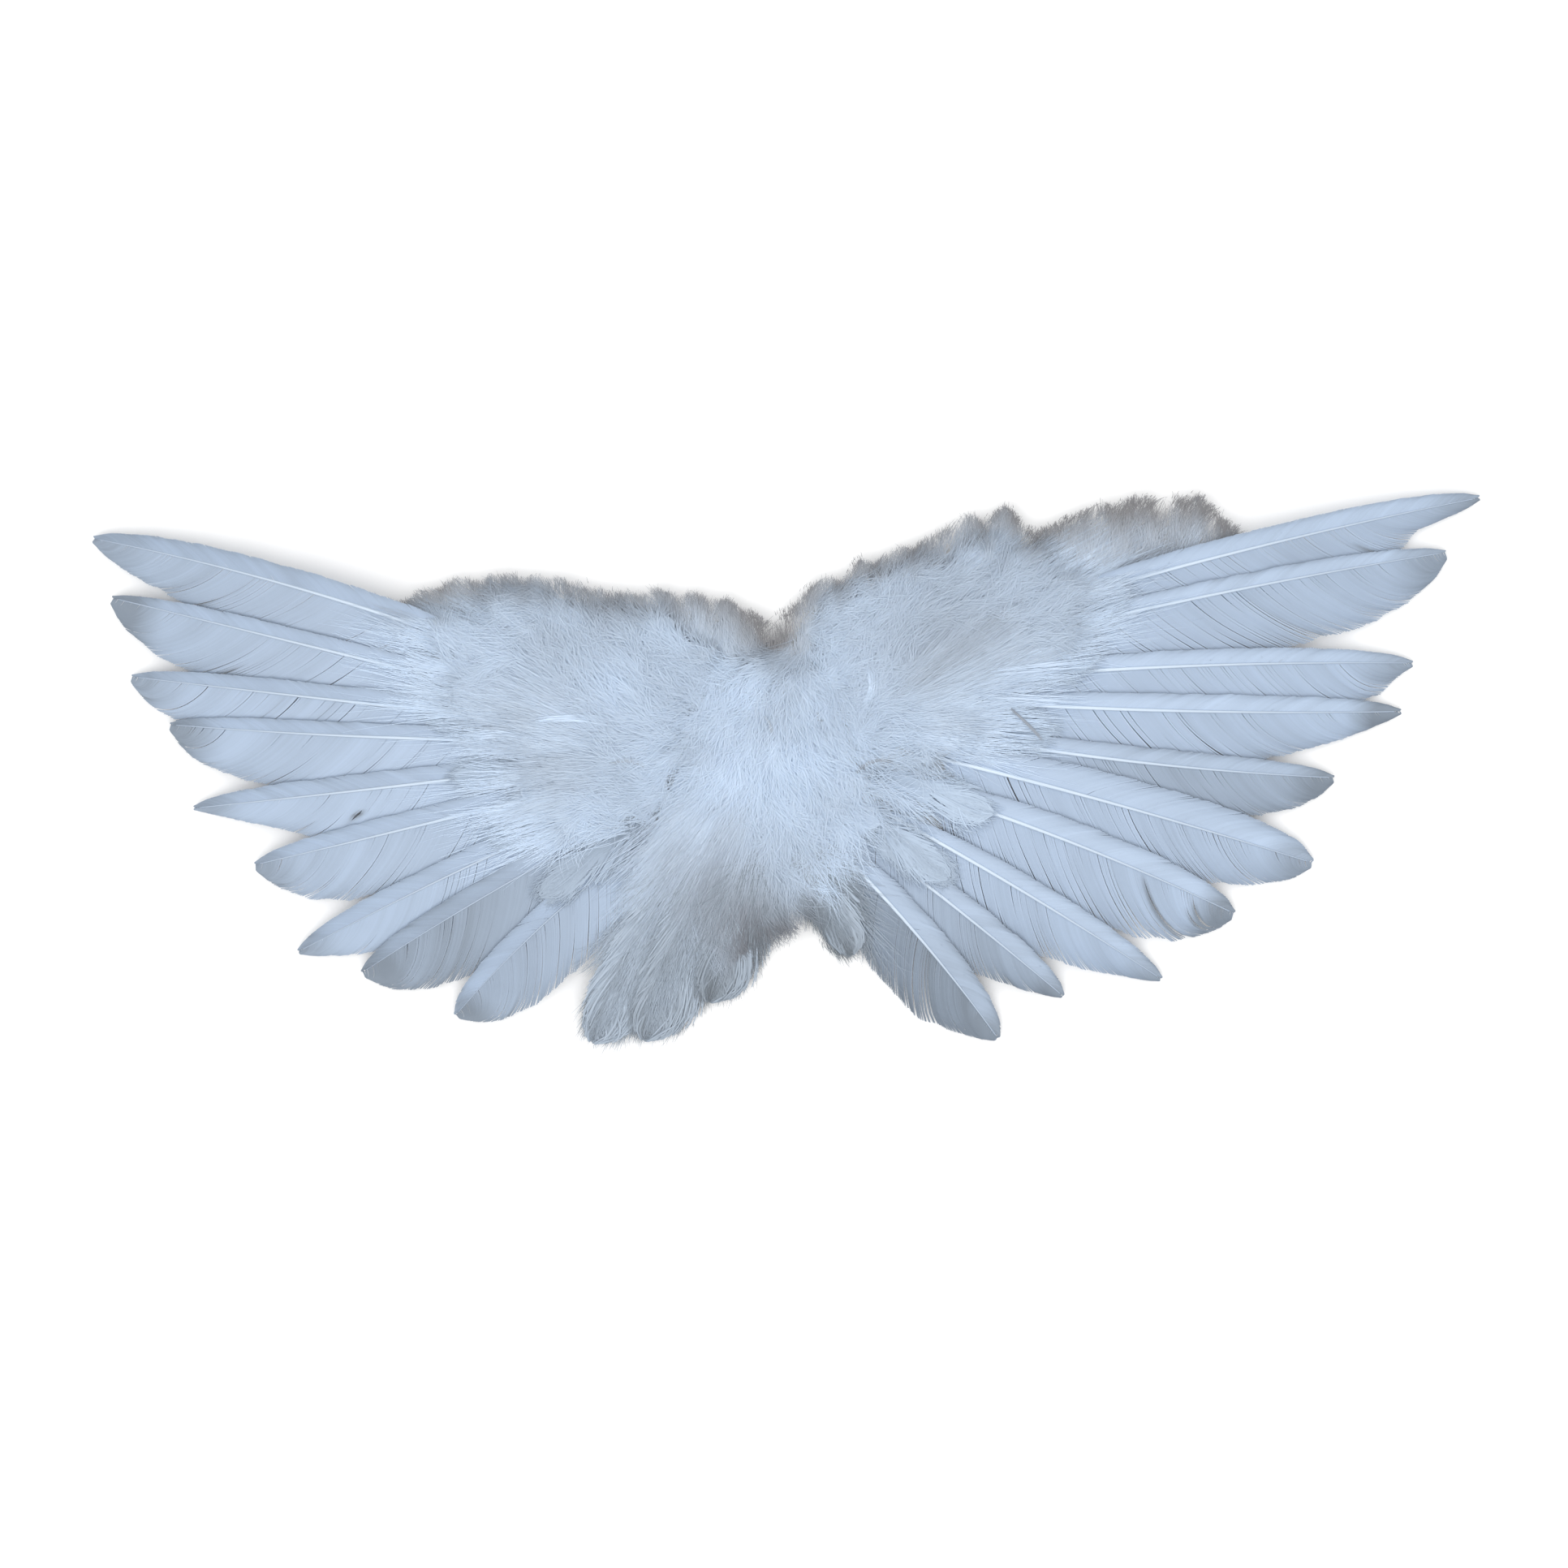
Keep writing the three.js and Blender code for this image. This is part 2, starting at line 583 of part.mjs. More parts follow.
// A ruff: a thin oval base on the panel, with locks that stand out past the top feather
function ruff(side, { middle, spread, locks }) {
  const size = new THREE.Vector2(RUFF_OUT, RUFF_RISE);
  const place = (out, up) => new THREE.Vector2(side * out, up).multiply(size);
  const level = () => 0;
  const base = mound(place(middle.x, middle.y), spread.clone().multiply(size), RUFF_BASE, level);
  const strips = locks.map((row) => {
    const [root, tip] = [place(row.rootOut, row.rootUp), place(row.tipOut, row.tipUp)];
    return lock(root, tip, RUFF_LOCK, RUFF_LOFT, level);
  });
  const middleLine = { top: 0, bottom: 0 };
  return geometryOf(fused([base, ...strips]).intersect(sideOf(middleLine, side, CLEARANCE / 2)));
}

// A mass of down: a domed mound with locks all round it
const LOCK_START = 0.2;
const LOCK_LOFT = 0.7;
function down({ middle, spread, locks }, surface) {
  const centre = middle.clone().multiplyScalar(DOWN_REACH);
  const dome = mound(centre, spread.clone().multiplyScalar(DOWN_REACH), DOWN_LOFT, surface);
  const strips = locks.map((row) => {
    const away = unit(row.angle).multiplyScalar(row.reach * DOWN_REACH);
    const root = centre.clone().addScaledVector(away, LOCK_START);
    return lock(root, centre.clone().add(away), DOWN_LOCK, DOWN_LOFT * LOCK_LOFT, surface);
  });
  return fused([dome, ...strips]);
}

// The pieces are laid down in the order in which the real ones are stuck on.
const wings = new THREE.Group();
const band = elastic();
heights(band, pile, Math.max);
wings.add(piece("shoulder_elastic", band, ELASTIC_WHITE));
const backing = panel();
layOn([backing]);
wings.add(piece("backing_panel", backing, FELT_WHITE));

const ruffs = { left: ruff(LEFT_WING.side, LEFT_RUFF), right: ruff(RIGHT_WING.side, RIGHT_RUFF) };
for (const [where, geometry] of Object.entries(ruffs)) {
  layOn([geometry]);
  wings.add(piece("ruff_" + where, geometry, DOWN_WHITE));
}

const onWing = (wing, angle, reach) => outward(wing, unit(angle).multiplyScalar(reach));
for (const wing of [LEFT_WING, RIGHT_WING]) {
  const group = new THREE.Group();
  const flights = wing.flights.map((row, place) => {
    const root = onWing(wing, row.rootAngle, row.root * wing.rootReach);
    const tip = onWing(wing, row.tipAngle, row.tip * wing.reach);
    const vanes = [row.lead * LEAD_VANE, row.trail * TRAIL_VANE, row.taper];
    return feather(root, tip, wing.side, row.bow, ...vanes, (x, y) => layerAt(wing, place, x, y));
  });
  layOn(flights);
  flights.forEach((geometry, i) => group.add(piece(wing.flights[i].name, geometry, FLIGHT_WHITE)));
  for (const row of wing.coverts) {
    const root = onWing(wing, row.rootAngle, row.root * COVERT_ROOT);
    const tip = onWing(wing, row.tipAngle, row.tip * COVERT_REACH);
    const vanes = [row.lead * COVERT_LEAD, row.trail * COVERT_TRAIL, row.taper];
    const place = placeAt(wing, middleAngle(row));
    const geometry = feather(root, tip, wing.side, row.bow, ...vanes, (x, y) => layerAt(wing, place, x, y));
    layOn([geometry]);
    group.add(piece(row.name, geometry, FLIGHT_WHITE));
  }
  wings.add(group);
}

const gap = CLEARANCE / 2;
const masses = [
  [LEFT_DOWN, (x, y) => archAt(LEFT_WING, x, y), [sideOf(LEFT_PARTING, -1, gap)]],
  [RIGHT_DOWN, (x, y) => archAt(RIGHT_WING, x, y), [sideOf(RIGHT_PARTING, 1, gap)]],
  [CENTRE_DOWN, () => 0, [sideOf(LEFT_PARTING, 1, gap), sideOf(RIGHT_PARTING, -1, gap)]],
];
for (const [mass, surface, parts] of masses) {
  const geometry = geometryOf(parts.reduce((kept, block) => kept.intersect(block), down(mass, surface)));
  layOn([geometry]);
  wings.add(piece(mass.name, geometry, DOWN_WHITE));
}

// The origin is under the middle of the whole, on the table.
const box = new THREE.Box3().setFromObject(wings);
const centre = box.getCenter(new THREE.Vector3());
wings.position.set(-centre.x, -centre.y, -box.min.z);

export default wings;
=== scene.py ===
# A pair of small feather wings for dressing up, lying face up on a pale floor and seen from straight above.
# Each wing is a fan of goose and duck flight feathers on a felt panel, with short coverts and loose down over
# the quills and a ruff of down along the top edge. Lengths are in metres.
import math

import bpy
import numpy as np
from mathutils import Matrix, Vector
from mathutils.bvhtree import BVHTree


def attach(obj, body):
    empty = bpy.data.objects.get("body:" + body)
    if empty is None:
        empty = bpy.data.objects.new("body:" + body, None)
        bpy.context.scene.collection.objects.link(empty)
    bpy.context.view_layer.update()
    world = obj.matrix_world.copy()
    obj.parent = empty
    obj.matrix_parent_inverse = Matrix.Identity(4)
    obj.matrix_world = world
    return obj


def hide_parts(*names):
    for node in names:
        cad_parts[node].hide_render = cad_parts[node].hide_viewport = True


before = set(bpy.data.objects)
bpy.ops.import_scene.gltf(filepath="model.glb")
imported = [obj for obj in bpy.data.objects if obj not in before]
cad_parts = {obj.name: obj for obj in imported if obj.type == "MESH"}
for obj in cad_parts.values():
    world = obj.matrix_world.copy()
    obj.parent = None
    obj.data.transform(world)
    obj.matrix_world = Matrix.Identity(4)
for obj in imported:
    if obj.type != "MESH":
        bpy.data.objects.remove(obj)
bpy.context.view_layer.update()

# The camera stands over the wings as the photographer did. A pixel of the photograph is 0.228 mm at the
# feathers, and the model's origin falls on pixel (969.5, 947).
PIXEL = 0.00022794
PHOTO_PIXELS = 1932
ORIGIN_PIXEL = (969.5, 947.0)
FEATHER_HEIGHT = 0.006
LENS = 85.0
SENSOR = 36.0


def at_pixel(px, py):
    """A pixel of the photograph as a place in metres, at the height of the feathers"""
    return np.array([(px - ORIGIN_PIXEL[0]) * PIXEL, (ORIGIN_PIXEL[1] - py) * PIXEL])


camera = bpy.data.objects.new("camera", bpy.data.cameras.new("camera"))
bpy.context.scene.collection.objects.link(camera)
camera.data.lens = LENS
camera.data.sensor_width = SENSOR
camera_over = at_pixel(PHOTO_PIXELS / 2, PHOTO_PIXELS / 2)
camera.location = (*camera_over, FEATHER_HEIGHT + PHOTO_PIXELS * PIXEL * LENS / SENSOR)
bpy.context.scene.camera = camera
bpy.context.scene.view_settings.view_transform = "Standard"


# The floor is a plain sheet of pale matt card, and the light is a soft box low in front, a weaker one behind
# and an even white room.
FLOOR_SIZE = 6.0
FLOOR_WHITE = (0.93, 0.93, 0.93, 1)
FLOOR_DROP = 0.0002
ROOM_WHITE = (1, 1, 1, 1)
ROOM_POWER = 0.6


def principled(name, color, roughness, sheen=0.0):
    """A plain finish, and its shader node"""
    material = bpy.data.materials.new(name)
    material.use_nodes = True
    shader = material.node_tree.nodes["Principled BSDF"]
    shader.inputs["Base Color"].default_value = color
    shader.inputs["Roughness"].default_value = roughness
    shader.inputs["Sheen Weight"].default_value = sheen
    return material, shader


def soft_box(name, place, size, power):
    """A square of light that faces the middle of the floor"""
    light = bpy.data.objects.new(name, bpy.data.lights.new(name, "AREA"))
    bpy.context.scene.collection.objects.link(light)
    light.data.shape = "SQUARE"
    light.data.size = size
    light.data.energy = power
    light.location = place
    light.rotation_euler = (-Vector(place)).to_track_quat("-Z", "Y").to_euler()


bpy.ops.mesh.primitive_plane_add(size=FLOOR_SIZE, location=(0, 0, -FLOOR_DROP))
floor = bpy.context.object
floor.name = "floor"
floor.data.materials.append(principled("floor_card", FLOOR_WHITE, roughness=0.9)[0])
soft_box("light_front", place=(-0.16, -0.3, 1.2), size=1.2, power=13.0)
soft_box("light_back", place=(0.5, 0.6, 0.9), size=0.9, power=3.4)
world = bpy.data.worlds.new("room")
world.use_nodes = True
world.node_tree.nodes["Background"].inputs["Color"].default_value = ROOM_WHITE
world.node_tree.nodes["Background"].inputs["Strength"].default_value = ROOM_POWER
bpy.context.scene.world = world


# The shoulder elastic is a flat woven band, folded into a loop at each end and sewn under the panel. Its ribs
# run along it, a fraction of a millimetre apart.
ELASTIC_WHITE = (0.86, 0.87, 0.88, 1)
ELASTIC_RIBS = 900.0


def add(tree, kind, **settings):
    """A new shader node with the settings given"""
    node = tree.nodes.new(kind)
    for name, value in settings.items():
        setattr(node, name, value)
    return node


elastic_finish, shader = principled("elastic_weave", ELASTIC_WHITE, roughness=0.8, sheen=0.2)
tree = elastic_finish.node_tree
where = add(tree, "ShaderNodeTexCoord")
ribs = add(tree, "ShaderNodeTexWave", bands_direction="Y")
ribs.inputs["Scale"].default_value = ELASTIC_RIBS
raised = add(tree, "ShaderNodeBump")
raised.inputs["Strength"].default_value = 0.4
raised.inputs["Distance"].default_value = 0.0003
tree.links.new(where.outputs["Object"], ribs.inputs["Vector"])
tree.links.new(ribs.outputs["Fac"], raised.inputs["Height"])
tree.links.new(raised.outputs["Normal"], shader.inputs["Normal"])
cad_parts["shoulder_elastic"].material_slots[0].material = elastic_finish


# The backing panel is stiff white craft felt, 2 mm thick and cut to a butterfly. The quills are glued to its
# face, and its matted fibres show on the back and the rim.
FELT_GREY = (0.72, 0.73, 0.75, 1)
FELT_WHITE = (0.86, 0.87, 0.88, 1)
FELT_GRAIN = 900.0

felt_finish, shader = principled("pressed_felt", (0.8, 0.81, 0.82, 1), roughness=0.95, sheen=0.3)
tree = felt_finish.node_tree
where = add(tree, "ShaderNodeTexCoord")
fibres = add(tree, "ShaderNodeTexNoise")
fibres.inputs["Scale"].default_value = FELT_GRAIN
fibres.inputs["Detail"].default_value = 4.0
shades = add(tree, "ShaderNodeValToRGB")
shades.color_ramp.elements[0].color = FELT_GREY
shades.color_ramp.elements[1].color = FELT_WHITE
raised = add(tree, "ShaderNodeBump")
raised.inputs["Strength"].default_value = 0.5
raised.inputs["Distance"].default_value = 0.0004
tree.links.new(where.outputs["Object"], fibres.inputs["Vector"])
tree.links.new(fibres.outputs["Fac"], shades.inputs["Fac"])
tree.links.new(fibres.outputs["Fac"], raised.inputs["Height"])
tree.links.new(shades.outputs["Color"], shader.inputs["Base Color"])
tree.links.new(raised.outputs["Normal"], shader.inputs["Normal"])
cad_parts["backing_panel"].material_slots[0].material = felt_finish


# The two ruffs are bunches of loose down plumes, glued to the panel before the quills, so that they fluff up
# behind the top feathers. Each plume is a spray of fine barbs, and painted shade makes them greyer towards
# the ruff's rim.
RUFF_SINK = 0.0004
RIM_REACH = 0.012
RIM_SHADE = 0.66
CORE_VOXEL = 0.0016
CORE_SMOOTHING = 12
# The maps of the surface: their step and border in metres, then in steps how far they are filled outwards,
# softened and draped, how wide the notches are that are bridged, and how long the points that are taken off
MAP_STEP = 0.001
MAP_BORDER = 0.03
MAP_FILL = 24
MAP_EASE = 3
MAP_DRAPE = 16
EDGE_CLOSING = 4
RUFF_CLOSING = 6
RUFF_OPENING = 4
LAST_CELL = 1.001
# The barbs of a spray: their points and half width, how far apart their roots are, how they turn in radians,
# and how they differ in length, width, bend, height and tone
BARB_STEPS = 7
BARB_HALF = 0.00008
SPRAY_ROOT = 0.0012
SIDE_TURN = 0.12
BARB_TURN = 0.08
BARB_TILT = 0.3
SIDE_SHORTER = 0.4
BARB_LENGTHS = (0.55, 1.15)
SHORTEST_BARB = 0.12
BARB_WIDTHS = (0.7, 1.2)
TIP_TAPER = 0.75
BEND_SPREAD = 0.45
HOOK_SPREAD = 0.7
LIFT_SPREAD = 0.5
TIP_LIFTS = (0.2, 0.3)
BARB_TONES = 0.03
TIP_PALER = 0.04
SCATTER_INSIDE = 0.0005


def map_of(names, closing=0, opening=0, ease=MAP_EASE):
    """The lie of some solids seen from above: functions for their height, and for the room to the nearest
    edge, which is negative outside them. Closing bridges notches in the edge, opening takes off points, and
    easing softens the height."""
    points, faces = [], []
    for name in names:
        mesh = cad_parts[name].data
        faces += [[v + len(points) for v in p.vertices] for p in mesh.polygons]
        points += [v.co[:] for v in mesh.vertices]
    tree = BVHTree.FromPolygons(points, faces)
    low = np.array(points).min(axis=0)[:2] - MAP_BORDER
    high = np.array(points).max(axis=0)[:2] + MAP_BORDER
    xs = np.arange(low[0], high[0], MAP_STEP)
    ys = np.arange(low[1], high[1], MAP_STEP)
    down = Vector((0, 0, -1))
    hits = [[tree.ray_cast(Vector((x, y, 1.0)), down)[0] for x in xs] for y in ys]
    z = np.array([[np.nan if hit is None else hit.z for hit in row] for row in hits])
    near = ((0, 1), (0, -1), (1, 0), (-1, 0))
    covered = ~np.isnan(z)
    for steps, pick in ((closing, np.any), (closing + opening, np.all), (opening, np.any)):
        for _ in range(steps):
            covered = pick([covered] + [np.roll(covered, move, (0, 1)) for move in near], axis=0)
    room = np.where(covered, 1.0, -1.0)
    for _ in range(MAP_FILL):
        least = np.min([np.roll(room, move, (0, 1)) for move in near], axis=0)
        most = np.max([np.roll(room, move, (0, 1)) for move in near], axis=0)
        inner = np.maximum(room, np.maximum(least, 0) + 1)
        outer = np.minimum(room, np.minimum(most, 0) - 1)
        room = np.where(room > 0, inner, outer)
    for _ in range(MAP_FILL):
        around = np.array([np.roll(z, move, (0, 1)) for move in near])
        known = ~np.isnan(around)
        mean = np.where(known, around, 0).sum(axis=0) / np.maximum(known.sum(axis=0), 1)
        z = np.where(np.isnan(z) & known.any(axis=0), mean, z)
    z = np.where(np.isnan(z), np.nanmin(z), z)
    for _ in range(ease):
        z = (z + sum(np.roll(z, move, (0, 1)) for move in near)) / 5

    def reader(grid):
        def read(x, y):
            column = np.clip((x - low[0]) / MAP_STEP, 0, len(xs) - LAST_CELL)
            row = np.clip((y - low[1]) / MAP_STEP, 0, len(ys) - LAST_CELL)
            i, j = column.astype(int), row.astype(int)
            right, up = column - i, row - j
            first = grid[j, i] * (1 - right) + grid[j, i + 1] * right
            second = grid[j + 1, i] * (1 - right) + grid[j + 1, i + 1] * right
            return first * (1 - up) + second * up

        return read

    return reader(z), reader(room * MAP_STEP)


def ribbons(centres, halves):
    """Strips of quads along rows of centre points, with half their width as a vector at each point"""
    rows, steps, _ = centres.shape
    points = np.stack([centres - halves, centres + halves], axis=2).reshape(-1, 3)
    start = np.arange(rows)[:, None] * 2 * steps + np.arange(steps - 1)[None, :] * 2
    quads = np.stack([start, start + 1, start + 3, start + 2], axis=-1).reshape(-1, 4)
    return points, quads


def spray(rng, sprays, barbs, height, room, margin, ragged, fan, lift, field=None):
    """Sprays of fine barbs on a surface. Each spray is a row of x, y, heading, length and tone.

    A barb leaves along its spray's heading, bends off to its own side and stops near the margin. A field of
    tones over x and y is added to the spray's own."""
    x, y, heading, length, tone = [np.repeat(column, barbs) for column in np.asarray(sprays).T]
    count = len(x)
    side = rng.uniform(-1, 1, count)
    x = x + rng.normal(0, SPRAY_ROOT, count)
    y = y + rng.normal(0, SPRAY_ROOT, count)
    heading = heading + side * SIDE_TURN + rng.normal(0, BARB_TURN, count)
    length = length * (1 - SIDE_SHORTER * np.abs(side) ** 1.5) * rng.uniform(*BARB_LENGTHS, count)
    u = np.linspace(0, 1, BARB_STEPS)
    bend = side * fan + rng.normal(0, fan * BEND_SPREAD, count)
    hook = rng.normal(0, fan * HOOK_SPREAD, count)
    course = heading[:, None] + bend[:, None] * u**0.8 + hook[:, None] * u**2
    step = np.stack([np.cos(course), np.sin(course)], axis=2) / (BARB_STEPS - 1)
    path = np.cumsum(step, axis=1) - step
    start = np.stack([x, y], axis=1)[:, None, :]
    tried = start + path * length[:, None, None]
    stop = margin + rng.normal(0, ragged, count)[:, None]
    free = room(tried[:, :, 0], tried[:, :, 1]) > stop
    kept = np.cumprod(free, axis=1).sum(axis=1) / BARB_STEPS
    path = start + path * (length * np.clip(kept, SHORTEST_BARB, 1))[:, None, None]
    rise = np.abs(rng.normal(lift, lift * LIFT_SPREAD, count))
    tip = rng.normal(*TIP_LIFTS, count) * rise
    z = height(path[:, :, 0], path[:, :, 1])
    z = z + rise[:, None] * np.sin(np.pi * u * 0.85) + tip[:, None] * u**2
    centres = np.concatenate([path, z[:, :, None]], axis=2)
    tilt = rng.uniform(-BARB_TILT, BARB_TILT, count)[:, None]
    flat = np.stack([-np.sin(course) * np.cos(tilt), np.cos(course) * np.cos(tilt)], axis=2)
    width = BARB_HALF * rng.uniform(*BARB_WIDTHS, count)[:, None, None]
    width = width * (1 - TIP_TAPER * u**1.5)[None, :, None]
    halves = np.concatenate([flat, np.broadcast_to(np.sin(tilt), course.shape)[:, :, None]], axis=2) * width
    points, quads = ribbons(centres, halves)
    shade = tone[:, None] + rng.normal(0, BARB_TONES, count)[:, None] + TIP_PALER * (u - 0.5)
    if field:
        shade = shade + field(path[:, :, 0], path[:, :, 1])
    return points, quads, np.repeat(shade.reshape(-1), 2), 0


def joined(parts):
    """Lists of (points, faces, tones, material number) as one set of arrays"""
    points, faces, tones, numbers, count = [], [], [], [], 0
    for part_points, part_faces, tone, number in parts:
        points.append(part_points)
        faces.extend((np.asarray(part_faces) + count).tolist())
        tones.append(np.broadcast_to(tone, len(part_points)))
        numbers += [number] * len(part_faces)
        count += len(part_points)
    return np.concatenate(points), faces, np.concatenate(tones), numbers


def fit_piece(node, parts, materials):
    """One mesh from the parts, in place of the node"""
    points, faces, tones, numbers = joined(parts)
    mesh = bpy.data.meshes.new(node + "_made")
    mesh.from_pydata(points.tolist(), [], faces)
    mesh.attributes.new("tone", "FLOAT", "POINT").data.foreach_set("value", tones.astype(np.float32))
    for material in materials:
        mesh.materials.append(material)
    mesh.polygons.foreach_set("material_index", numbers)
    mesh.polygons.foreach_set("use_smooth", [True] * len(faces))
    mesh.update()
    piece = bpy.data.objects.new(node + "_made", mesh)
    bpy.context.scene.collection.objects.link(piece)
    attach(piece, "root")
    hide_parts(node)


def scattered(rng, node, apart, room):
    """Places over a solid seen from above, about evenly apart"""
    corners = np.array([v.co[:2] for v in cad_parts[node].data.vertices])
    (left, bottom), (right, top) = corners.min(axis=0), corners.max(axis=0)
    grid = np.array([(x, y) for x in np.arange(left, right, apart) for y in np.arange(bottom, top, apart)])
    grid += rng.uniform(-0.5, 0.5, grid.shape) * apart
    return grid[room(grid[:, 0], grid[:, 1]) > SCATTER_INSIDE]


# The shader group that all the feathers' finishes share. It mixes two colours by the tone that each barb
# carries and by a slow mottle.
MOTTLE_SCALE = 70.0
MOTTLE_DETAIL = 3.0
barb_tones = bpy.data.node_groups.new("barb_tones", "ShaderNodeTree")
for name, kind in (("Dark", "Color"), ("Light", "Color"), ("Mottle", "Float")):
    barb_tones.interface.new_socket(name, in_out="INPUT", socket_type="NodeSocket" + kind)
barb_tones.interface.new_socket("Color", in_out="OUTPUT", socket_type="NodeSocketColor")
given = add(barb_tones, "NodeGroupInput")
result = add(barb_tones, "NodeGroupOutput")
tones = add(barb_tones, "ShaderNodeAttribute", attribute_name="tone")
where = add(barb_tones, "ShaderNodeTexCoord")
clouds = add(barb_tones, "ShaderNodeTexNoise")
clouds.inputs["Scale"].default_value = MOTTLE_SCALE
clouds.inputs["Detail"].default_value = MOTTLE_DETAIL
spread = add(barb_tones, "ShaderNodeMath", operation="MULTIPLY_ADD")
mixed = add(barb_tones, "ShaderNodeMix", data_type="RGBA")
barb_tones.links.new(where.outputs["Object"], clouds.inputs["Vector"])
barb_tones.links.new(clouds.outputs["Fac"], spread.inputs[0])
barb_tones.links.new(given.outputs["Mottle"], spread.inputs[1])
barb_tones.links.new(tones.outputs["Fac"], spread.inputs[2])
barb_tones.links.new(spread.outputs["Value"], mixed.inputs["Factor"])
barb_tones.links.new(given.outputs["Dark"], mixed.inputs["A"])
barb_tones.links.new(given.outputs["Light"], mixed.inputs["B"])
barb_tones.links.new(mixed.outputs["Result"], result.inputs["Color"])


def toned_finish(name, dark, light, roughness, sheen, mottle):
    """A matt finish whose colour lies between dark and light, as the barbs' tones say"""
    material, shader = principled(name, light, roughness, sheen)
    tree = material.node_tree
    tones = add(tree, "ShaderNodeGroup", node_tree=barb_tones)
    tones.inputs["Dark"].default_value = dark
    tones.inputs["Light"].default_value = light
    tones.inputs["Mottle"].default_value = mottle
    tree.links.new(tones.outputs["Color"], shader.inputs["Base Color"])
    return material


down_finish = toned_finish(
    "down",
    dark=(0.21, 0.225, 0.255, 1),
    light=(0.66, 0.79, 0.95, 1),
    roughness=0.95,
    sheen=0.2,
    mottle=0.16,
)
ruff_finish = toned_finish(
    "ruff_down",
    dark=(0.25, 0.25, 0.262, 1),
    light=(0.655, 0.77, 0.91, 1),
    roughness=0.95,
    sheen=0.2,
    mottle=0.16,
)
ALL_NODES = list(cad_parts)
all_height, all_room = map_of(ALL_NODES, EDGE_CLOSING)
eased_height, soft_room = map_of(ALL_NODES, RUFF_CLOSING, RUFF_OPENING, MAP_DRAPE)
heap_room = map_of([name for name in ALL_NODES if name.startswith(("down_", "flight_"))])[1]


def drape(x, y):
    """The top of everything, with its steps and gaps bridged as loose down bridges them"""
    return np.maximum(all_height(x, y), eased_height(x, y))


# Where the down is lighter or darker than the rest, mostly painted light and shade: lighter in the middle of
# the heap, and darker in the dip at its top, at the crotch and beside the right ruff. Each spot gives its
# middle, reach and change of tone
DOWN_TONE = 0.62
DOWN_SPOTS = [
    (at_pixel(950, 950), 0.034, 0.16),
    (at_pixel(950, 785), 0.01, -0.5),
    (at_pixel(880, 1095), 0.02, -0.32),
    (at_pixel(930, 1155), 0.012, -0.6),
    (at_pixel(1145, 790), 0.016, -0.2),
    (at_pixel(1420, 650), 0.024, -0.28),
    (at_pixel(1200, 660), 0.014, -0.1),
    (at_pixel(1050, 1085), 0.01, 0.14),
    (at_pixel(650, 930), 0.015, -0.06),
]


def down_tone(x, y):
    """The tone of the down: painted shade near the rim, and painted light and shade around the spots"""
    rim = 1 - np.clip(all_room(x, y) / RIM_REACH, 0, 1)
    tone = DOWN_TONE - RIM_SHADE * rim**1.2
    for middle, reach, change in DOWN_SPOTS:
        tone = tone + change * np.exp(-((x - middle[0]) ** 2 + (y - middle[1]) ** 2) / reach**2)
    return tone


def core_part(node, sink):
    """The solid of a mass of down, remeshed and smoothed into a soft body that fills it under the barbs"""
    copy = bpy.data.objects.new("core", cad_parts[node].data.copy())
    bpy.context.scene.collection.objects.link(copy)
    remesh = copy.modifiers.new("remesh", "REMESH")
    remesh.mode = "VOXEL"
    remesh.voxel_size = CORE_VOXEL
    soften = copy.modifiers.new("soften", "SMOOTH")
    soften.iterations = CORE_SMOOTHING
    made = bpy.data.meshes.new_from_object(copy.evaluated_get(bpy.context.evaluated_depsgraph_get()))
    points = np.array([v.co - v.normal * sink for v in made.vertices])
    faces = [list(p.vertices) for p in made.polygons]
    bpy.data.objects.remove(copy)
    bpy.data.meshes.remove(made)
    return points, faces, down_tone(points[:, 0], points[:, 1]), 0


# The heading of each ruff's plumes, in degrees, at its inner and its outer end
RUFFS = {
    "ruff_left": dict(ends=(0.0, -0.11), headings=(88, 128), seed=11),
    "ruff_right": dict(ends=(0.0, 0.127), headings=(96, 66), seed=12),
}
RUFF_APART = 0.004
RUFF_BARBS = 58
RUFF_HIDDEN = 0.006
RUFF_ROOTS = 0.002
RUFF_TURN = 0.25
RUFF_LENGTHS = (0.008, 0.014)
RUFF_TONES = 0.04
RUFF_SPRAY = dict(margin=0.0003, ragged=0.0006, fan=0.5, lift=0.0005, field=down_tone)

for node, ruff in RUFFS.items():
    rng = np.random.default_rng(ruff["seed"])
    height, room = map_of([node], RUFF_CLOSING, RUFF_OPENING)
    places = scattered(rng, node, RUFF_APART, room)
    seen = (heap_room(*places.T) < RUFF_HIDDEN) & (soft_room(*places.T) > RUFF_ROOTS)
    places = places[seen]
    share = (places[:, 0] - ruff["ends"][0]) / (ruff["ends"][1] - ruff["ends"][0])
    headings = np.radians(ruff["headings"][0] + share * (ruff["headings"][1] - ruff["headings"][0]))
    headings += rng.normal(0, RUFF_TURN, len(places))
    lengths = rng.uniform(*RUFF_LENGTHS, len(places))
    rows = np.column_stack([places, headings, lengths, rng.normal(0, RUFF_TONES, len(places))])
    parts = [core_part(node, RUFF_SINK)]
    parts.append(spray(rng, rows, RUFF_BARBS, height, soft_room, **RUFF_SPRAY))
    fit_piece(node, parts, [ruff_finish])


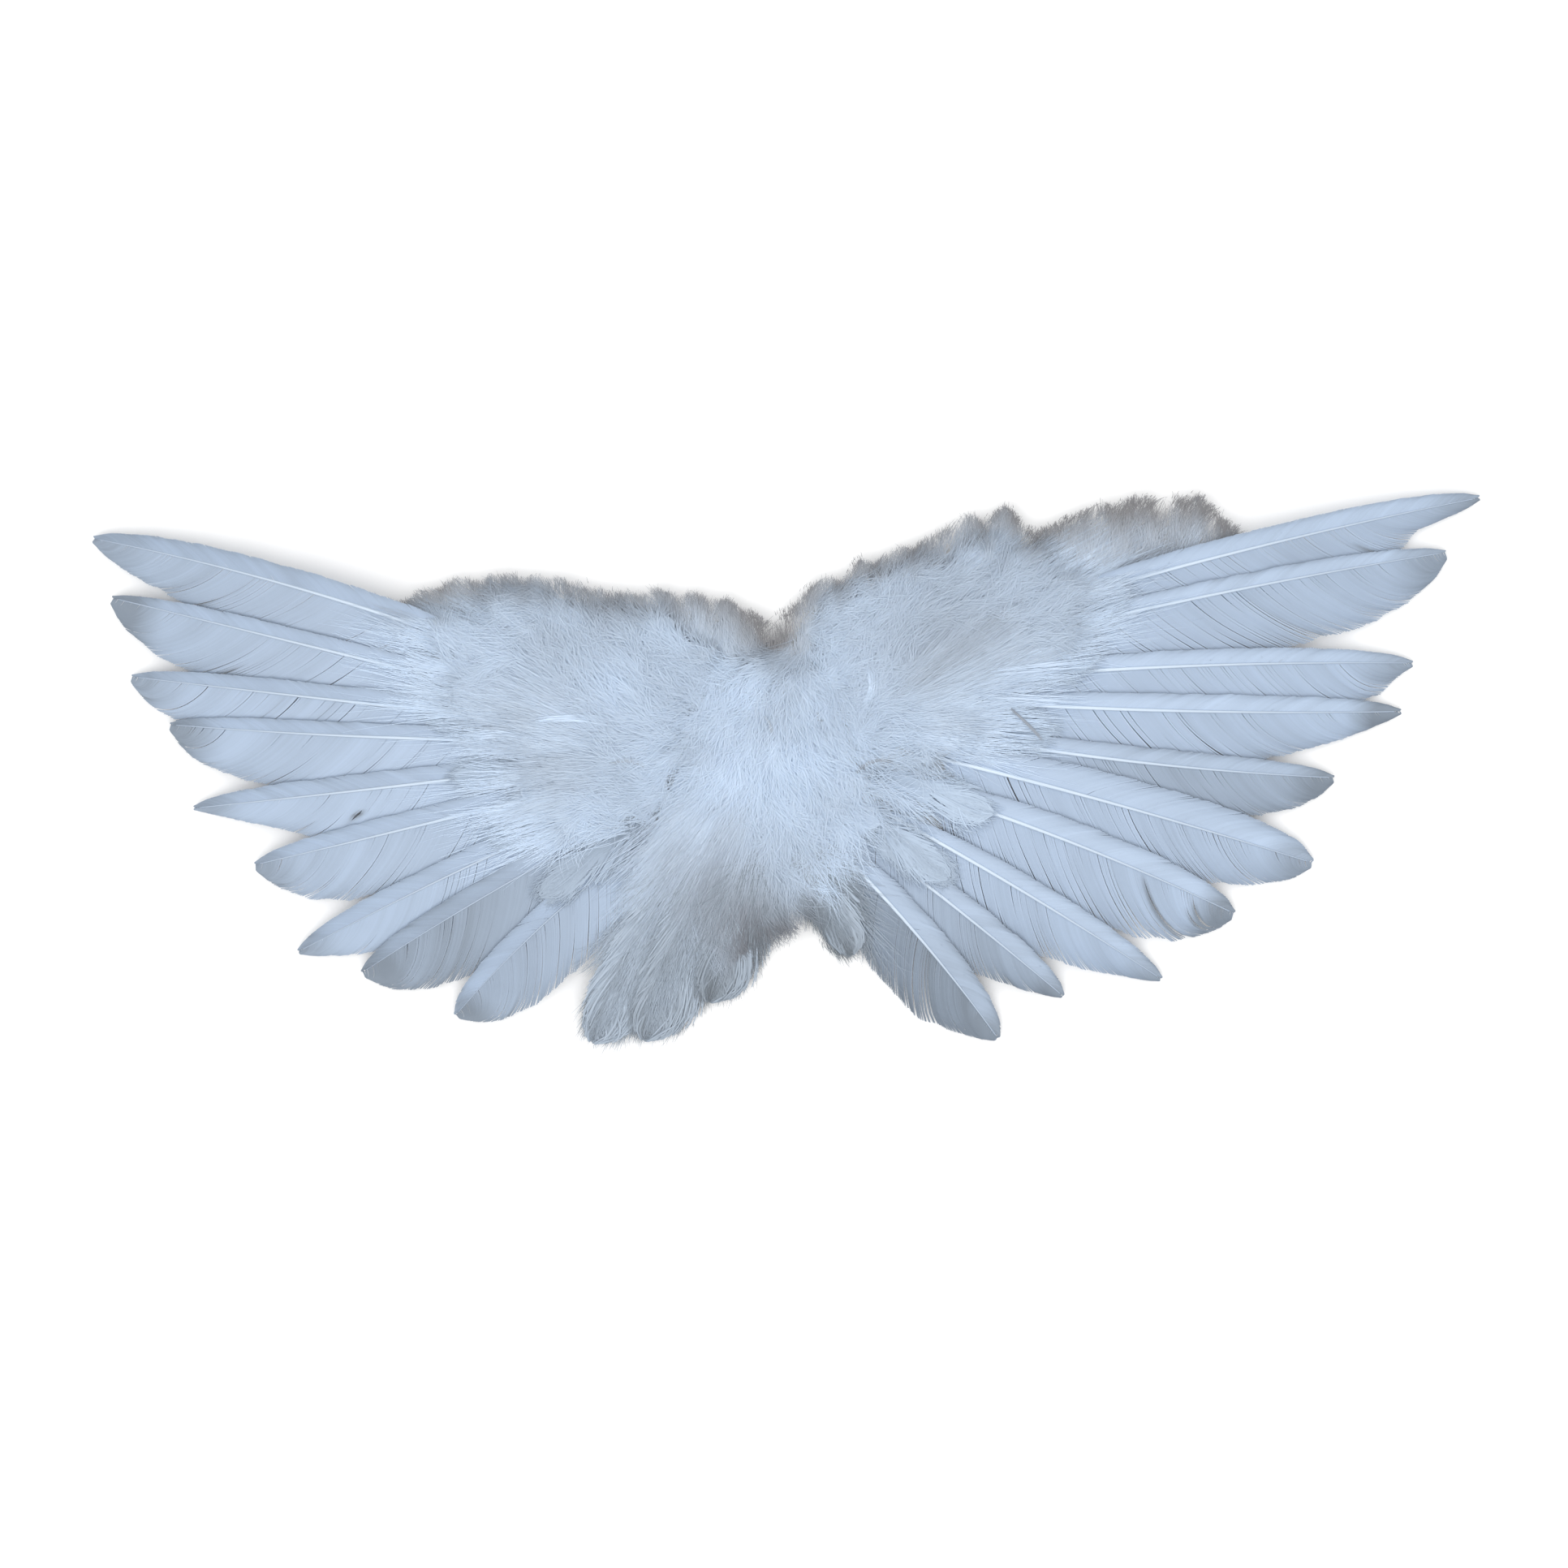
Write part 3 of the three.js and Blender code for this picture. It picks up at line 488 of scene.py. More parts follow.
# The flight feathers are goose and duck quills, 60 to 145 mm long, each with a narrow leading vane, a broad
# trailing vane and a pale shaft. They are glued in a fan, every feather over the one above it.
BARB_GAP = 0.00048
VANE_BARB_HALF = 0.00024
VANE_START = 0.06
VANE_ENDS = (0.995, 0.998)
VANE_RISE = 0.00022
VANE_CAMBER = 0.0004
VANE_LOUVRE = 0.00006
VANE_TONE = 0.64
ROOT_TONE = 0.82
ROOT_PALER = 0.5
ROOT_RUN = 0.6
RIM_GREY = 0.3
END_START = 0.86
TIP_START = 0.88
TIP_RUN = 0.08
# Barbs cling together in clumps and in fine clumps of these sizes, which change their reach, height and tone
CLUMP_GRAIN = 0.0035
FINE_GRAIN = 0.0011
CLUMP_REACH = 0.02
FINE_REACH = 0.012
BARB_SHORT = 0.01
FARTHEST_REACH = 1.05
CLUMP_RISE = 0.00005
FINE_RISE = 0.00003
CLUMP_TONE = 0.04
FINE_TONE = 0.02
VANE_BARB_TONE = 0.025
# What a wholly loose vane adds to the spread of its barbs' slant, reach, course and height
LOOSE_SLANT = 0.25
LOOSE_CLUMPS = 0.2
LOOSE_LONGER = 0.1
LOOSE_SHORTER = 0.3
LOOSE_COURSE = 0.06
LOOSE_PUFF = 0.0012
SPLIT_EASE = 0.0025
SPLIT_EDGE = 0.001
SPLIT_DARK = 0.0006
SHAFT_SIDES = 8
SHAFT_RINGS = 48
SHAFT_RADIUS = 0.00068
SHAFT_END = 0.985
SHAFT_TAPER = 0.8
SHAFT_FLAT = 0.8
SHAFT_RISE = 0.0003
SURVEY_STEPS = 161
SURVEY_EASE = 6
SAME_PLACE = 0.000003
CREST_HEIGHT = 0.0007


def survey(node):
    """A feather's solid, measured: functions for points over its vanes and for their width, and its length.

    The crest of the shaft is where two corners of the solid lie one over the other and far apart."""
    corners = np.unique(np.round([v.co[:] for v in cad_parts[node].data.vertices], 6), axis=0)
    flat = corners[:, :2]
    apart = np.linalg.norm(flat[:, None] - flat[None, :], axis=2)
    first, second = np.unravel_index(np.argmax(apart), apart.shape)
    root, tip = sorted((corners[first], corners[second]), key=lambda p: np.hypot(*p[:2]))
    lower, upper = np.nonzero(np.triu(apart < SAME_PLACE, 1))
    thick = np.abs(corners[upper, 2] - corners[lower, 2])
    chord = tip[:2] - root[:2]
    length = np.linalg.norm(chord)
    way = chord / length
    lead_side = np.array([-way[1], way[0]]) * np.sign(tip[0] - root[0])
    crest = np.minimum(corners[lower[thick > CREST_HEIGHT], 2], corners[upper[thick > CREST_HEIGHT], 2])
    crest = np.column_stack([flat[lower[thick > CREST_HEIGHT]], crest])
    crest = crest[np.argsort((crest[:, :2] - root[:2]) @ way)]
    knots = np.vstack([root, crest, tip])
    t_knots = (knots[:, :2] - root[:2]) @ way / length
    bow = np.polyfit(t_knots, (knots[:, :2] - root[:2]) @ lead_side, 2)
    t_all = (flat - root[:2]) @ way / length
    u_all = (flat - root[:2]) @ lead_side - np.polyval(bow, t_all)
    t_foot = t_all - u_all * np.polyval(np.polyder(bow), t_all) / length
    nearest = np.argmin(np.abs(t_foot[:, None] - t_knots[None, :]), axis=1)
    lead, trail, z_lead, z_trail = [np.zeros(len(knots)) for _ in range(4)]
    z_lead[[0, -1]], z_trail[[0, -1]] = (root[2], tip[2]), (root[2], tip[2])
    for k in range(1, len(knots) - 1):
        members = np.nonzero(nearest == k)[0]
        front = members[np.argmax(u_all[members])]
        back = members[np.argmin(u_all[members])]
        lead[k], z_lead[k] = u_all[front], corners[front, 2]
        trail[k], z_trail[k] = -u_all[back], corners[back, 2]
    fine = np.linspace(0, 1, SURVEY_STEPS)
    window = np.hanning(2 * SURVEY_EASE + 1)
    window /= window.sum()

    def eased(values):
        dense = np.interp(fine, t_knots, values)
        return np.convolve(np.pad(dense, SURVEY_EASE, mode="edge"), window, mode="valid")

    lines = [eased(v) for v in (lead, trail, z_lead, knots[:, 2], z_trail)]

    def lay(t, share):
        """Points at t along the feather and a signed share of the vane's width"""
        leading, trailing, z_front, z_shaft, z_back = [np.interp(t, fine, line) for line in lines]
        offset = np.where(share > 0, share * leading, share * trailing)
        slope = np.polyval(np.polyder(bow), t) / length
        middle = root[:2] + way * (t * length)[..., None] + lead_side * np.polyval(bow, t)[..., None]
        across = lead_side - way * slope[..., None]
        across /= np.linalg.norm(across, axis=-1, keepdims=True)
        ground = middle + across * offset[..., None]
        rim = np.where(share > 0, z_front, z_back)
        z = z_shaft + (rim - z_shaft) * np.clip(np.abs(share), 0, 1)
        return np.concatenate([ground, z[..., None]], axis=-1)

    def width(t, side):
        return np.interp(t, fine, lines[0] if side > 0 else lines[1])

    return lay, width, length


def slow_noise(rng, places, grain):
    """Smooth random numbers of about unit size along a line, changing over the grain"""
    knots = np.arange(places.min() - 2 * grain, places.max() + 3 * grain, grain)
    return np.interp(places, knots, rng.normal(0, 1, len(knots)))


def vane(rng, lay, width, length, side, steps, lean, loose, tone, greys=(0.1, 0.0), splits=(), nip=None):
    """One vane: barbs that leave the shaft slantwise, curve forwards and end on the feather's outline. The
    greys darken its rim and its tip, and a nip narrows it from a place onwards."""
    rim_grey, tip_grey = greys
    count = int((1 - VANE_START) * length / BARB_GAP)
    b = np.linspace(VANE_START, VANE_ENDS[0], count) + rng.normal(0, 0.2 * BARB_GAP / length, count)
    b = np.clip(b, VANE_START, VANE_ENDS[1])
    sweep = np.minimum(width(b, side) / math.tan(math.radians(lean)) / length, (1 - b) * 0.93)
    sweep *= 1 + loose * rng.normal(0, LOOSE_SLANT, count)
    u = np.linspace(0, 1, steps)
    t = b[:, None] + sweep[:, None] * (0.6 * u + 0.4 * u**2)
    clump = slow_noise(rng, b * length, CLUMP_GRAIN)
    fine_clump = slow_noise(rng, b * length, FINE_GRAIN)
    reach = 1 + FINE_REACH * fine_clump + (CLUMP_REACH + LOOSE_CLUMPS * loose) * clump
    shorter = np.abs(rng.normal(0, BARB_SHORT + LOOSE_SHORTER * loose, count))
    reach = np.minimum(reach, FARTHEST_REACH + LOOSE_LONGER * loose) - shorter
    split_shade = np.zeros_like(t)
    for where, first, last, opening in splits:
        aside = (b - where) * length
        push = np.sign(aside) * np.exp(-np.abs(aside) / SPLIT_EASE) * opening / length
        inside = np.clip((u - first) / (last - first), 0, 1)
        gape = np.sin(np.pi * inside) if last < 1 else inside**0.6
        t = t + push[:, None] * gape[None, :]
        # painted shade: the barbs beside a split are darker, for the shadow in the gap
        split_shade += np.exp(-((aside / SPLIT_EDGE) ** 2))[:, None] * gape[None, :] * opening / SPLIT_DARK
    if nip:
        start, left, run = nip
        reach = reach * (1 - (1 - left) * np.clip((t[:, -1] - start) / run, 0, 1))
    wander = loose * rng.normal(0, LOOSE_COURSE, count)[:, None] * u**2
    share = side * (u[None, :] * reach[:, None])
    centres = lay(np.clip(t + wander, 0, 1), share)
    camber = VANE_CAMBER * np.sin(np.pi * u * 0.8)
    ripple = (CLUMP_RISE * clump + FINE_RISE * fine_clump)[:, None] * u
    puff = loose * np.abs(rng.normal(0, LOOSE_PUFF, count))[:, None] * u
    centres[:, :, 2] += VANE_RISE + camber + ripple + puff
    ahead = np.gradient(centres, axis=1)
    ahead /= np.linalg.norm(ahead, axis=2, keepdims=True) + 1e-12
    across = np.stack([-ahead[:, :, 1], ahead[:, :, 0], np.zeros_like(t)], axis=2)
    taper = (1 - 0.45 * u**4)[None, :, None]
    halves = across * VANE_BARB_HALF * taper
    halves[:, :, 2] += VANE_LOUVRE * np.sign(side)
    points, quads = ribbons(centres, halves)
    shade = tone + CLUMP_TONE * clump + FINE_TONE * fine_clump + rng.normal(0, VANE_BARB_TONE, count)
    rim = np.maximum(0.8 * u[None, :] ** 6, np.clip((t - END_START) / (1 - END_START), 0, 1))
    tone_root = np.minimum(ROOT_TONE, tone + ROOT_PALER)
    shade = tone_root + (shade - tone_root) * np.clip(b / ROOT_RUN, 0, 1)
    tip = np.clip((t - TIP_START) / TIP_RUN, 0, 1)
    shade = np.clip(shade[:, None] - rim_grey * rim - tip_grey * tip - split_shade, 0, 1)
    return points, quads, np.repeat(shade.reshape(-1), 2), 0


def shaft_tube(lay, end, radius, pale=1.0):
    """The quill: a round tube that tapers to the tip and stands a little above the vanes"""
    t = np.linspace(0, end, SHAFT_RINGS)
    thick = radius * (1 - SHAFT_TAPER * t**1.2)
    centre = lay(t, np.zeros_like(t))
    centre[:, 2] += SHAFT_RISE + thick * 0.3
    along = np.gradient(centre, axis=0)
    along /= np.linalg.norm(along, axis=1, keepdims=True)
    across = np.column_stack([-along[:, 1], along[:, 0], np.zeros(len(t))])
    turn = np.linspace(0, 2 * np.pi, SHAFT_SIDES, endpoint=False)[None, :, None]
    ring = across[:, None] * np.cos(turn) + np.array([0, 0, SHAFT_FLAT]) * np.sin(turn)
    points = centre[:, None] + ring * thick[:, None, None]
    ids = np.arange(len(t) * SHAFT_SIDES).reshape(len(t), SHAFT_SIDES)
    after = np.roll(ids, -1, axis=1)
    quads = np.stack([ids[:-1], after[:-1], after[1:], ids[1:]], axis=-1).reshape(-1, 4)
    tone = np.repeat(np.interp(t, [0, 0.4, 0.8, 1], [0.95, 0.7, 0.25, 0.0]), SHAFT_SIDES)
    return points.reshape(-1, 3), quads, tone * pale, 1


vane_finish = toned_finish(
    "flight_vane",
    dark=(0.16, 0.193, 0.235, 1),
    light=(0.412, 0.512, 0.66, 1),
    roughness=0.55,
    sheen=0.15,
    mottle=0.2,
)
shaft_finish = toned_finish(
    "feather_shaft",
    dark=(0.33, 0.4, 0.5, 1),
    light=(0.62, 0.72, 0.83, 1),
    roughness=0.5,
    sheen=0.0,
    mottle=0.1,
)

# Tones of the leading and trailing vanes where a feather is greyer or paler than the rest. The lower feathers
# are greyer partly in their own colour and partly with painted shade, where they droop away from the light
FEATHER_TONES = {
    "flight_left_1": (0.5, 0.5),
    "flight_left_6": (0.6, 0.58),
    "flight_left_7": (0.64, 0.66),
    "flight_left_8": (0.4, 0.24),
    "flight_left_9": (0.56, 0.4),
    "flight_right_3": (0.7, 0.7),
    "flight_right_4": (0.7, 0.72),
    "flight_right_5": (0.52, 0.42),
    "flight_right_6": (0.68, 0.7),
    "flight_right_9": (0.5, 0.3),
    "flight_right_10": (0.4, 0.08),
}
# Most tips are a little grey. Some are greyer, among them those that are curled under, and one is clean.
TIP_GREY = 0.22
DARK_TIPS = {
    "flight_left_1": 0.05,
    "flight_left_2": 0.55,
    "flight_left_4": 0.35,
    "flight_right_4": 0.7,
    "flight_right_7": 0.5,
}
# Where barbs have come apart: side of the shaft, place along it, where in the vane the gap starts and ends,
# and how far it gapes
SPLITS = {
    "flight_left_2": [(-1, 0.62, 0.6, 1, 0.0005)],
    "flight_left_5": [(-1, 0.558, 0.38, 0.64, 0.0008)],
    "flight_right_1": [(-1, 0.7, 0.4, 1, 0.0005)],
    "flight_right_7": [
        (-1, 0.714, 0.05, 1, 0.0008),
        (-1, 0.838, 0.3, 1, 0.0006),
        (-1, 0.87, 0.1, 1, 0.0008),
    ],
}
# Where a trailing vane has worn narrow: the place, the share of its width that is left, and over what run
NIPS = {
    "flight_left_5": (0.7, 0.6, 0.28),
    "flight_left_7": (0.7, 0.65, 0.28),
    "flight_right_1": (0.82, 0.6, 0.05),
    "flight_right_3": (0.93, 0.6, 0.05),
    "flight_right_8": (0.66, 0.5, 0.3),
    "flight_right_9": (0.66, 0.5, 0.3),
    "flight_right_10": (0.75, 0.65, 0.2),
}
# Shafts that are sunk between the vanes: their radius and paleness
SUNK_SHAFTS = {
    "flight_left_7": (0.0005, 0.5),
    "flight_left_8": (0.0004, 0.1),
    "flight_left_9": (0.0004, 0.1),
}
# Every vane also has a small split at a random place
STRAY_SPLIT = 0.00015
STRAY_PLACES = (0.4, 0.9)
STRAY_STARTS = (0.6, 0.85)
LEAD_PALER = 0.06
FEATHER_TONE_SPREAD = 0.03
# The two vanes: side of the shaft, slant of the barbs in degrees, and points along a barb
VANES = ((1, 30, 5), (-1, 42, 9))
FLIGHTS = [name for name in ALL_NODES if name.startswith("flight_")]
FLIGHT_SEED = 100
for number, node in enumerate(sorted(FLIGHTS)):
    rng = np.random.default_rng(FLIGHT_SEED + number)
    lay, width, length = survey(node)
    parts = []
    tones = FEATHER_TONES.get(node, (VANE_TONE, VANE_TONE))
    greys = (RIM_GREY, DARK_TIPS.get(node, TIP_GREY))
    for (side, lean, steps), tone in zip(VANES, tones):
        splits = [split[1:] for split in SPLITS.get(node, []) if split[0] == side]
        splits.append((rng.uniform(*STRAY_PLACES), rng.uniform(*STRAY_STARTS), 1, STRAY_SPLIT))
        nip = NIPS.get(node) if side < 0 else None
        tone += rng.normal(0, FEATHER_TONE_SPREAD) + (LEAD_PALER if side > 0 else 0)
        parts.append(vane(rng, lay, width, length, side, steps, lean, 0.0, tone, greys, splits, nip))
    radius, pale = SUNK_SHAFTS.get(node, (SHAFT_RADIUS, 1.0))
    parts.append(shaft_tube(lay, SHAFT_END, radius, pale))
    fit_piece(node, parts, [vane_finish, shaft_finish])


# The coverts are short body feathers, glued over the quills where the vanes begin. Their barbs are soft and
# open, with fluff along the shaft, and they are pressed down on the flight feathers.
COVERT_STEPS = 6
COVERT_LEAN = 22
COVERT_LOOSE = 1.0
COVERT_LIFT = 0.0007
COVERT_PRESSED = 0.85
COVERT_SHAFT = SHAFT_RADIUS * 0.4
COVERT_SHAFT_END = 0.8
COVERT_TONE = 0.62
COVERT_TONES = {"covert_right_4": 0.78, "covert_right_5": 0.6, "covert_left_5": 0.44}
COVERT_FLUFF = dict(span=0.95, count=34, spread=1.0, length=0.018, mixed=0.05)
COVERT_BARBS = 22
COVERT_SPRAY = dict(margin=-0.0025, ragged=0.0015, fan=0.4, lift=0.0004)
FLUFF_PALER = 0.02
FLUFF_AHEAD = 0.02
FLUFF_OUTWARDS = 1.06
FLUFF_LENGTHS = (0.7, 1.2)
covert_finish = toned_finish(
    "covert_vane",
    dark=(0.16, 0.19, 0.23, 1),
    light=(0.44, 0.54, 0.67, 1),
    roughness=0.75,
    sheen=0.15,
    mottle=0.2,
)


def fluff(rng, lay, tone, span, count, spread, length, mixed):
    """Rows of sprays along a feather, which lean outwards from its shaft"""
    t = rng.uniform(VANE_START, span, count)
    share = rng.uniform(-1, 1, count) * spread
    here = lay(t, share)
    ahead = lay(t + FLUFF_AHEAD, share * FLUFF_OUTWARDS)
    way = ahead[:, :2] - here[:, :2]
    headings = np.arctan2(way[:, 1], way[:, 0])
    lengths = length * rng.uniform(*FLUFF_LENGTHS, count)
    return np.column_stack([here[:, :2], headings, lengths, tone + rng.normal(0, mixed, count)])


flights_height = map_of(FLIGHTS)[0]
COVERTS = [name for name in ALL_NODES if name.startswith("covert_")]
COVERT_SEED = 200
for number, node in enumerate(sorted(COVERTS)):
    tone = COVERT_TONES.get(node, COVERT_TONE)
    rng = np.random.default_rng(COVERT_SEED + number)
    lay, width, length = survey(node)
    room = map_of([node])[1]
    parts = []
    for side in (1, -1):
        shape = (side, COVERT_STEPS, COVERT_LEAN, COVERT_LOOSE)
        parts.append(vane(rng, lay, width, length, *shape, tone, greys=(0.0, 0.0)))
    rows = fluff(rng, lay, tone + FLUFF_PALER, **COVERT_FLUFF)
    parts.append(spray(rng, rows, COVERT_BARBS, drape, room, **COVERT_SPRAY))
    parts.append(shaft_tube(lay, COVERT_SHAFT_END, COVERT_SHAFT))
    for points, *_ in parts:
        above = points[:, 2] - flights_height(points[:, 0], points[:, 1]) - COVERT_LIFT
        points[:, 2] -= COVERT_PRESSED * np.maximum(above, 0)
    fit_piece(node, parts, [covert_finish, shaft_finish])


# The plumes are half-downy feathers at the inner end of each fan. Their long loose barbs lie along them, hang
# apart at the rims and mingle with those of the next plume, and they hide the shafts.
PLUME_TONES = {"plume_left_1": 0.7, "plume_left_2": 0.52, "plume_left_3": 0.36, "plume_right_1": 0.5}
PLUME_RIM = 0.4
PLUME_RIM_REACH = 0.011
PLUME_STEPS = 8
PLUME_LEAN = 20
PLUME_LOOSE = 0.6
PLUME_DARKER = 0.04
PLUME_SHAFT_END = 0.85
PLUME_FLUFF = dict(span=0.9, count=64, spread=0.9, length=0.02, mixed=0.1)
plume_finish = toned_finish(
    "plume_vane",
    dark=(0.15, 0.17, 0.19, 1),
    light=(0.44, 0.52, 0.62, 1),
    roughness=0.85,
    sheen=0.15,
    mottle=0.2,
)


def plume_shade(x, y):
    """How much painted shade darkens a plume near the rim of the wings"""
    return -PLUME_RIM * (1 - np.clip(all_room(x, y) / PLUME_RIM_REACH, 0, 1))


# Barbs that keep to the plume's own outline, and barbs that mingle with those around them
OWN_BARBS = 18
OWN_SPRAY = dict(margin=-0.0012, ragged=0.0015, fan=0.22, lift=0.0007, field=plume_shade)
MINGLED_BARBS = 16
MINGLED_SPRAY = dict(margin=0.0004, ragged=0.0012, fan=0.3, lift=0.0005, field=plume_shade)
PLUMES = [name for name in ALL_NODES if name.startswith("plume_")]
PLUME_SEED = 300
for number, node in enumerate(sorted(PLUMES)):
    tone = PLUME_TONES[node]
    rng = np.random.default_rng(PLUME_SEED + number)
    lay, width, length = survey(node)
    height, room = map_of([node])
    parts = []
    for side in (1, 1, -1, -1):
        shape = (side, PLUME_STEPS, PLUME_LEAN, PLUME_LOOSE)
        parts.append(vane(rng, lay, width, length, *shape, tone - PLUME_DARKER))
    rows = fluff(rng, lay, tone, **PLUME_FLUFF)
    parts.append(spray(rng, rows, OWN_BARBS, height, room, **OWN_SPRAY))
    parts.append(spray(rng, rows, MINGLED_BARBS, drape, all_room, **MINGLED_SPRAY))
    points, quads = shaft_tube(lay, PLUME_SHAFT_END, COVERT_SHAFT)[:2]
    parts.append((points, quads, tone, 0))
    fit_piece(node, parts, [plume_finish])


# The masses of down hide the quills: loose plumes glued in a heap over each wing's roots and over the middle.
# They flow outwards on the wings and downwards in the middle, white in the middle with painted light and grey
# at the lower rim with painted shade.
DOWN_SINK = 0.0006
DOWN_APART = 0.0041
DOWN_BARBS = 48
DOWN_RAGGED = 0.0015
# The flow turns in slow swirls and from spray to spray, in radians, and far less where it is combed. Each
# spray starts back from its place by a share of its length.
DOWN_SWIRL = 0.012
SWIRL_WAVES = 6
SWIRL_TURN = 0.4
SPRAY_TURN = 0.35
COMBED_LOOSE = 0.1
SPRAY_BACK = 0.35
LOOSE_LENGTHS = (0.011, 0.019)
COMBED_LENGTHS = (0.02, 0.032)
LOOSE_SHAPE = dict(fan=0.8, lift=0.0008)
COMBED_SHAPE = dict(fan=0.12, lift=0.0005)
# The tones change in slow swirls, and where the barbs are combed in streaks
TONE_SWIRL = 0.006
TONE_SWIRL_SIZE = 0.04
STREAK_RADIUS = 0.05
STREAK_GRAIN = 0.003
STREAK_TONE = 0.07
# Each mass flows away from its source. Near its combed spot the barbs lie straight, away from a source of
# their own, because the vanes underneath show through them. Places are in pixels.
MASSES = {
    "down_left": dict(
        source=(1010, 900),
        margin=0.002,
        combed=(630, 925),
        comb_source=(880, 945),
        streamers=(960, 930),
        seed=21,
    ),
    "down_right": dict(
        source=(900, 930),
        margin=0.002,
        combed=(1215, 860),
        comb_source=(1060, 890),
        streamers=(960, 900),
        seed=22,
    ),
    "down_centre": dict(
        source=(985, 800),
        margin=0.0,
        combed=(850, 1090),
        comb_source=(985, 850),
        seed=23,
    ),
}
COMB_REACH = 0.022
COMBED_FROM = 0.35
# Pixels where extra down bridges the gaps between the masses
BRIDGED = [
    (948, 838), (956, 826), (972, 822), (990, 818), (1006, 816), (1018, 806), (1012, 792),
    (1018, 772), (1024, 754), (1034, 762), (1050, 888), (1066, 915), (1085, 975), (1098, 984),
    (1116, 996), (1130, 1000), (1030, 1070), (1016, 1076), (805, 990), (785, 1000), (900, 1160),
    (912, 1165), (890, 1172), (904, 1182), (918, 1178), (896, 1192), (884, 1184),
]
# Streamers are loose barbs that lie far out over the vanes. They start near the border of a mass, away from
# the wings' own edge.
STREAMER_START = 0.045
STREAMER_BORDER = 0.009
STREAMER_INSIDE = 0.012
STREAMER_TURN = 0.06
STREAMER_LENGTHS = (0.024, 0.04)
STREAMER_TONE = 0.16
STREAMER_BARBS = 34
STREAMER_SPRAY = dict(margin=0.004, ragged=0.002, fan=0.12, lift=0.0004, field=down_tone)
# Hollows between the masses are looked for on a grid around the middle: its reach, gap and unevenness, how
# deep a hollow is, and its least room to the edges of the masses and of the wings
HOLLOW_REACH = 0.11
HOLLOW_APART = 0.0022
HOLLOW_SHIFT = 0.0008
HOLLOW_DEPTH = 0.0016
HOLLOW_ROOM = 0.002
HOLLOW_EDGE_ROOM = 0.01


def hollows(rng):
    """Places among the masses that lie deep below the bridged surface"""
    masses_room = map_of(list(MASSES), EDGE_CLOSING)[1]
    reach = np.arange(-HOLLOW_REACH, HOLLOW_REACH, HOLLOW_APART)
    grid = np.array([(x, y) for x in reach for y in reach])
    grid += rng.uniform(-HOLLOW_SHIFT, HOLLOW_SHIFT, grid.shape)
    x, y = grid.T
    deep = drape(x, y) > all_height(x, y) + HOLLOW_DEPTH
    return grid[deep & (masses_room(x, y) > HOLLOW_ROOM) & (all_room(x, y) > HOLLOW_EDGE_ROOM)]


def swirl(rng, places, grain):
    """Smooth random numbers of unit size over an area"""
    turns = rng.normal(0, 1 / grain, (SWIRL_WAVES, 2))
    starts = rng.uniform(0, 2 * np.pi, SWIRL_WAVES)
    return np.sin(places @ turns.T + starts).sum(axis=1) / math.sqrt(SWIRL_WAVES / 2)


# Pale wisps and dark creases on the masses are bundles of barbs that bend through three pixels. The dark
# bundles are painted shade, for the shadow in the creases. Their spread and tone come after the pixels.
STRANDS = {
    "down_left": [
        ([(753, 942), (775, 938), (796, 944)], 0.0002, 0.3),
        ([(666, 890), (705, 886), (742, 890)], 0.0006, 0.82),
        ([(589, 908), (612, 906), (640, 910)], 0.0006, 0.8),
    ],
    "down_right": [
        ([(1055, 952), (1076, 937), (1100, 939)], 0.0003, 0.15),
        ([(1245, 874), (1262, 890), (1282, 911)], 0.0002, 0.1),
        ([(1066, 867), (1073, 846), (1069, 825)], 0.0005, 0.8),
        ([(1208, 858), (1270, 862), (1340, 866)], 0.0006, 0.76),
        ([(1222, 830), (1290, 822), (1350, 816)], 0.0006, 0.76),
    ],
    "down_centre": [([(942, 884), (948, 893), (950, 904)], 0.0002, 0.3)],
}
STRAND_BARBS = 14
STRAND_POINTS = 9
STRAND_BARB_HALF = 0.0001
STRAND_LIFT = 0.0012
STRAND_LIFTS = (0.6, 1)


def strand(rng, spots, spread, tone):
    """A bundle of barbs that bends through three places on top of the down"""
    first, middle, last = spots
    bend = 2 * middle - (first + last) / 2
    u = np.linspace(0, 1, STRAND_POINTS)[:, None]
    path = first * (1 - u) ** 2 + bend * 2 * u * (1 - u) + last * u**2
    path = path + rng.normal(0, spread, (STRAND_BARBS, 1, 2))
    path = path + rng.normal(0, spread, (STRAND_BARBS, 1, 2)) * u
    lift = STRAND_LIFT * rng.uniform(*STRAND_LIFTS, (STRAND_BARBS, 1))
    z = drape(path[:, :, 0], path[:, :, 1]) + lift
    ahead = np.gradient(path, axis=1)
    across = np.stack([-ahead[:, :, 1], ahead[:, :, 0], 0 * z], axis=2)
    half = STRAND_BARB_HALF * np.sin(np.pi * (0.1 + 0.85 * u))
    across *= half / np.linalg.norm(ahead, axis=2, keepdims=True)
    points, quads = ribbons(np.concatenate([path, z[:, :, None]], axis=2), across)
    return points, quads, tone, 0


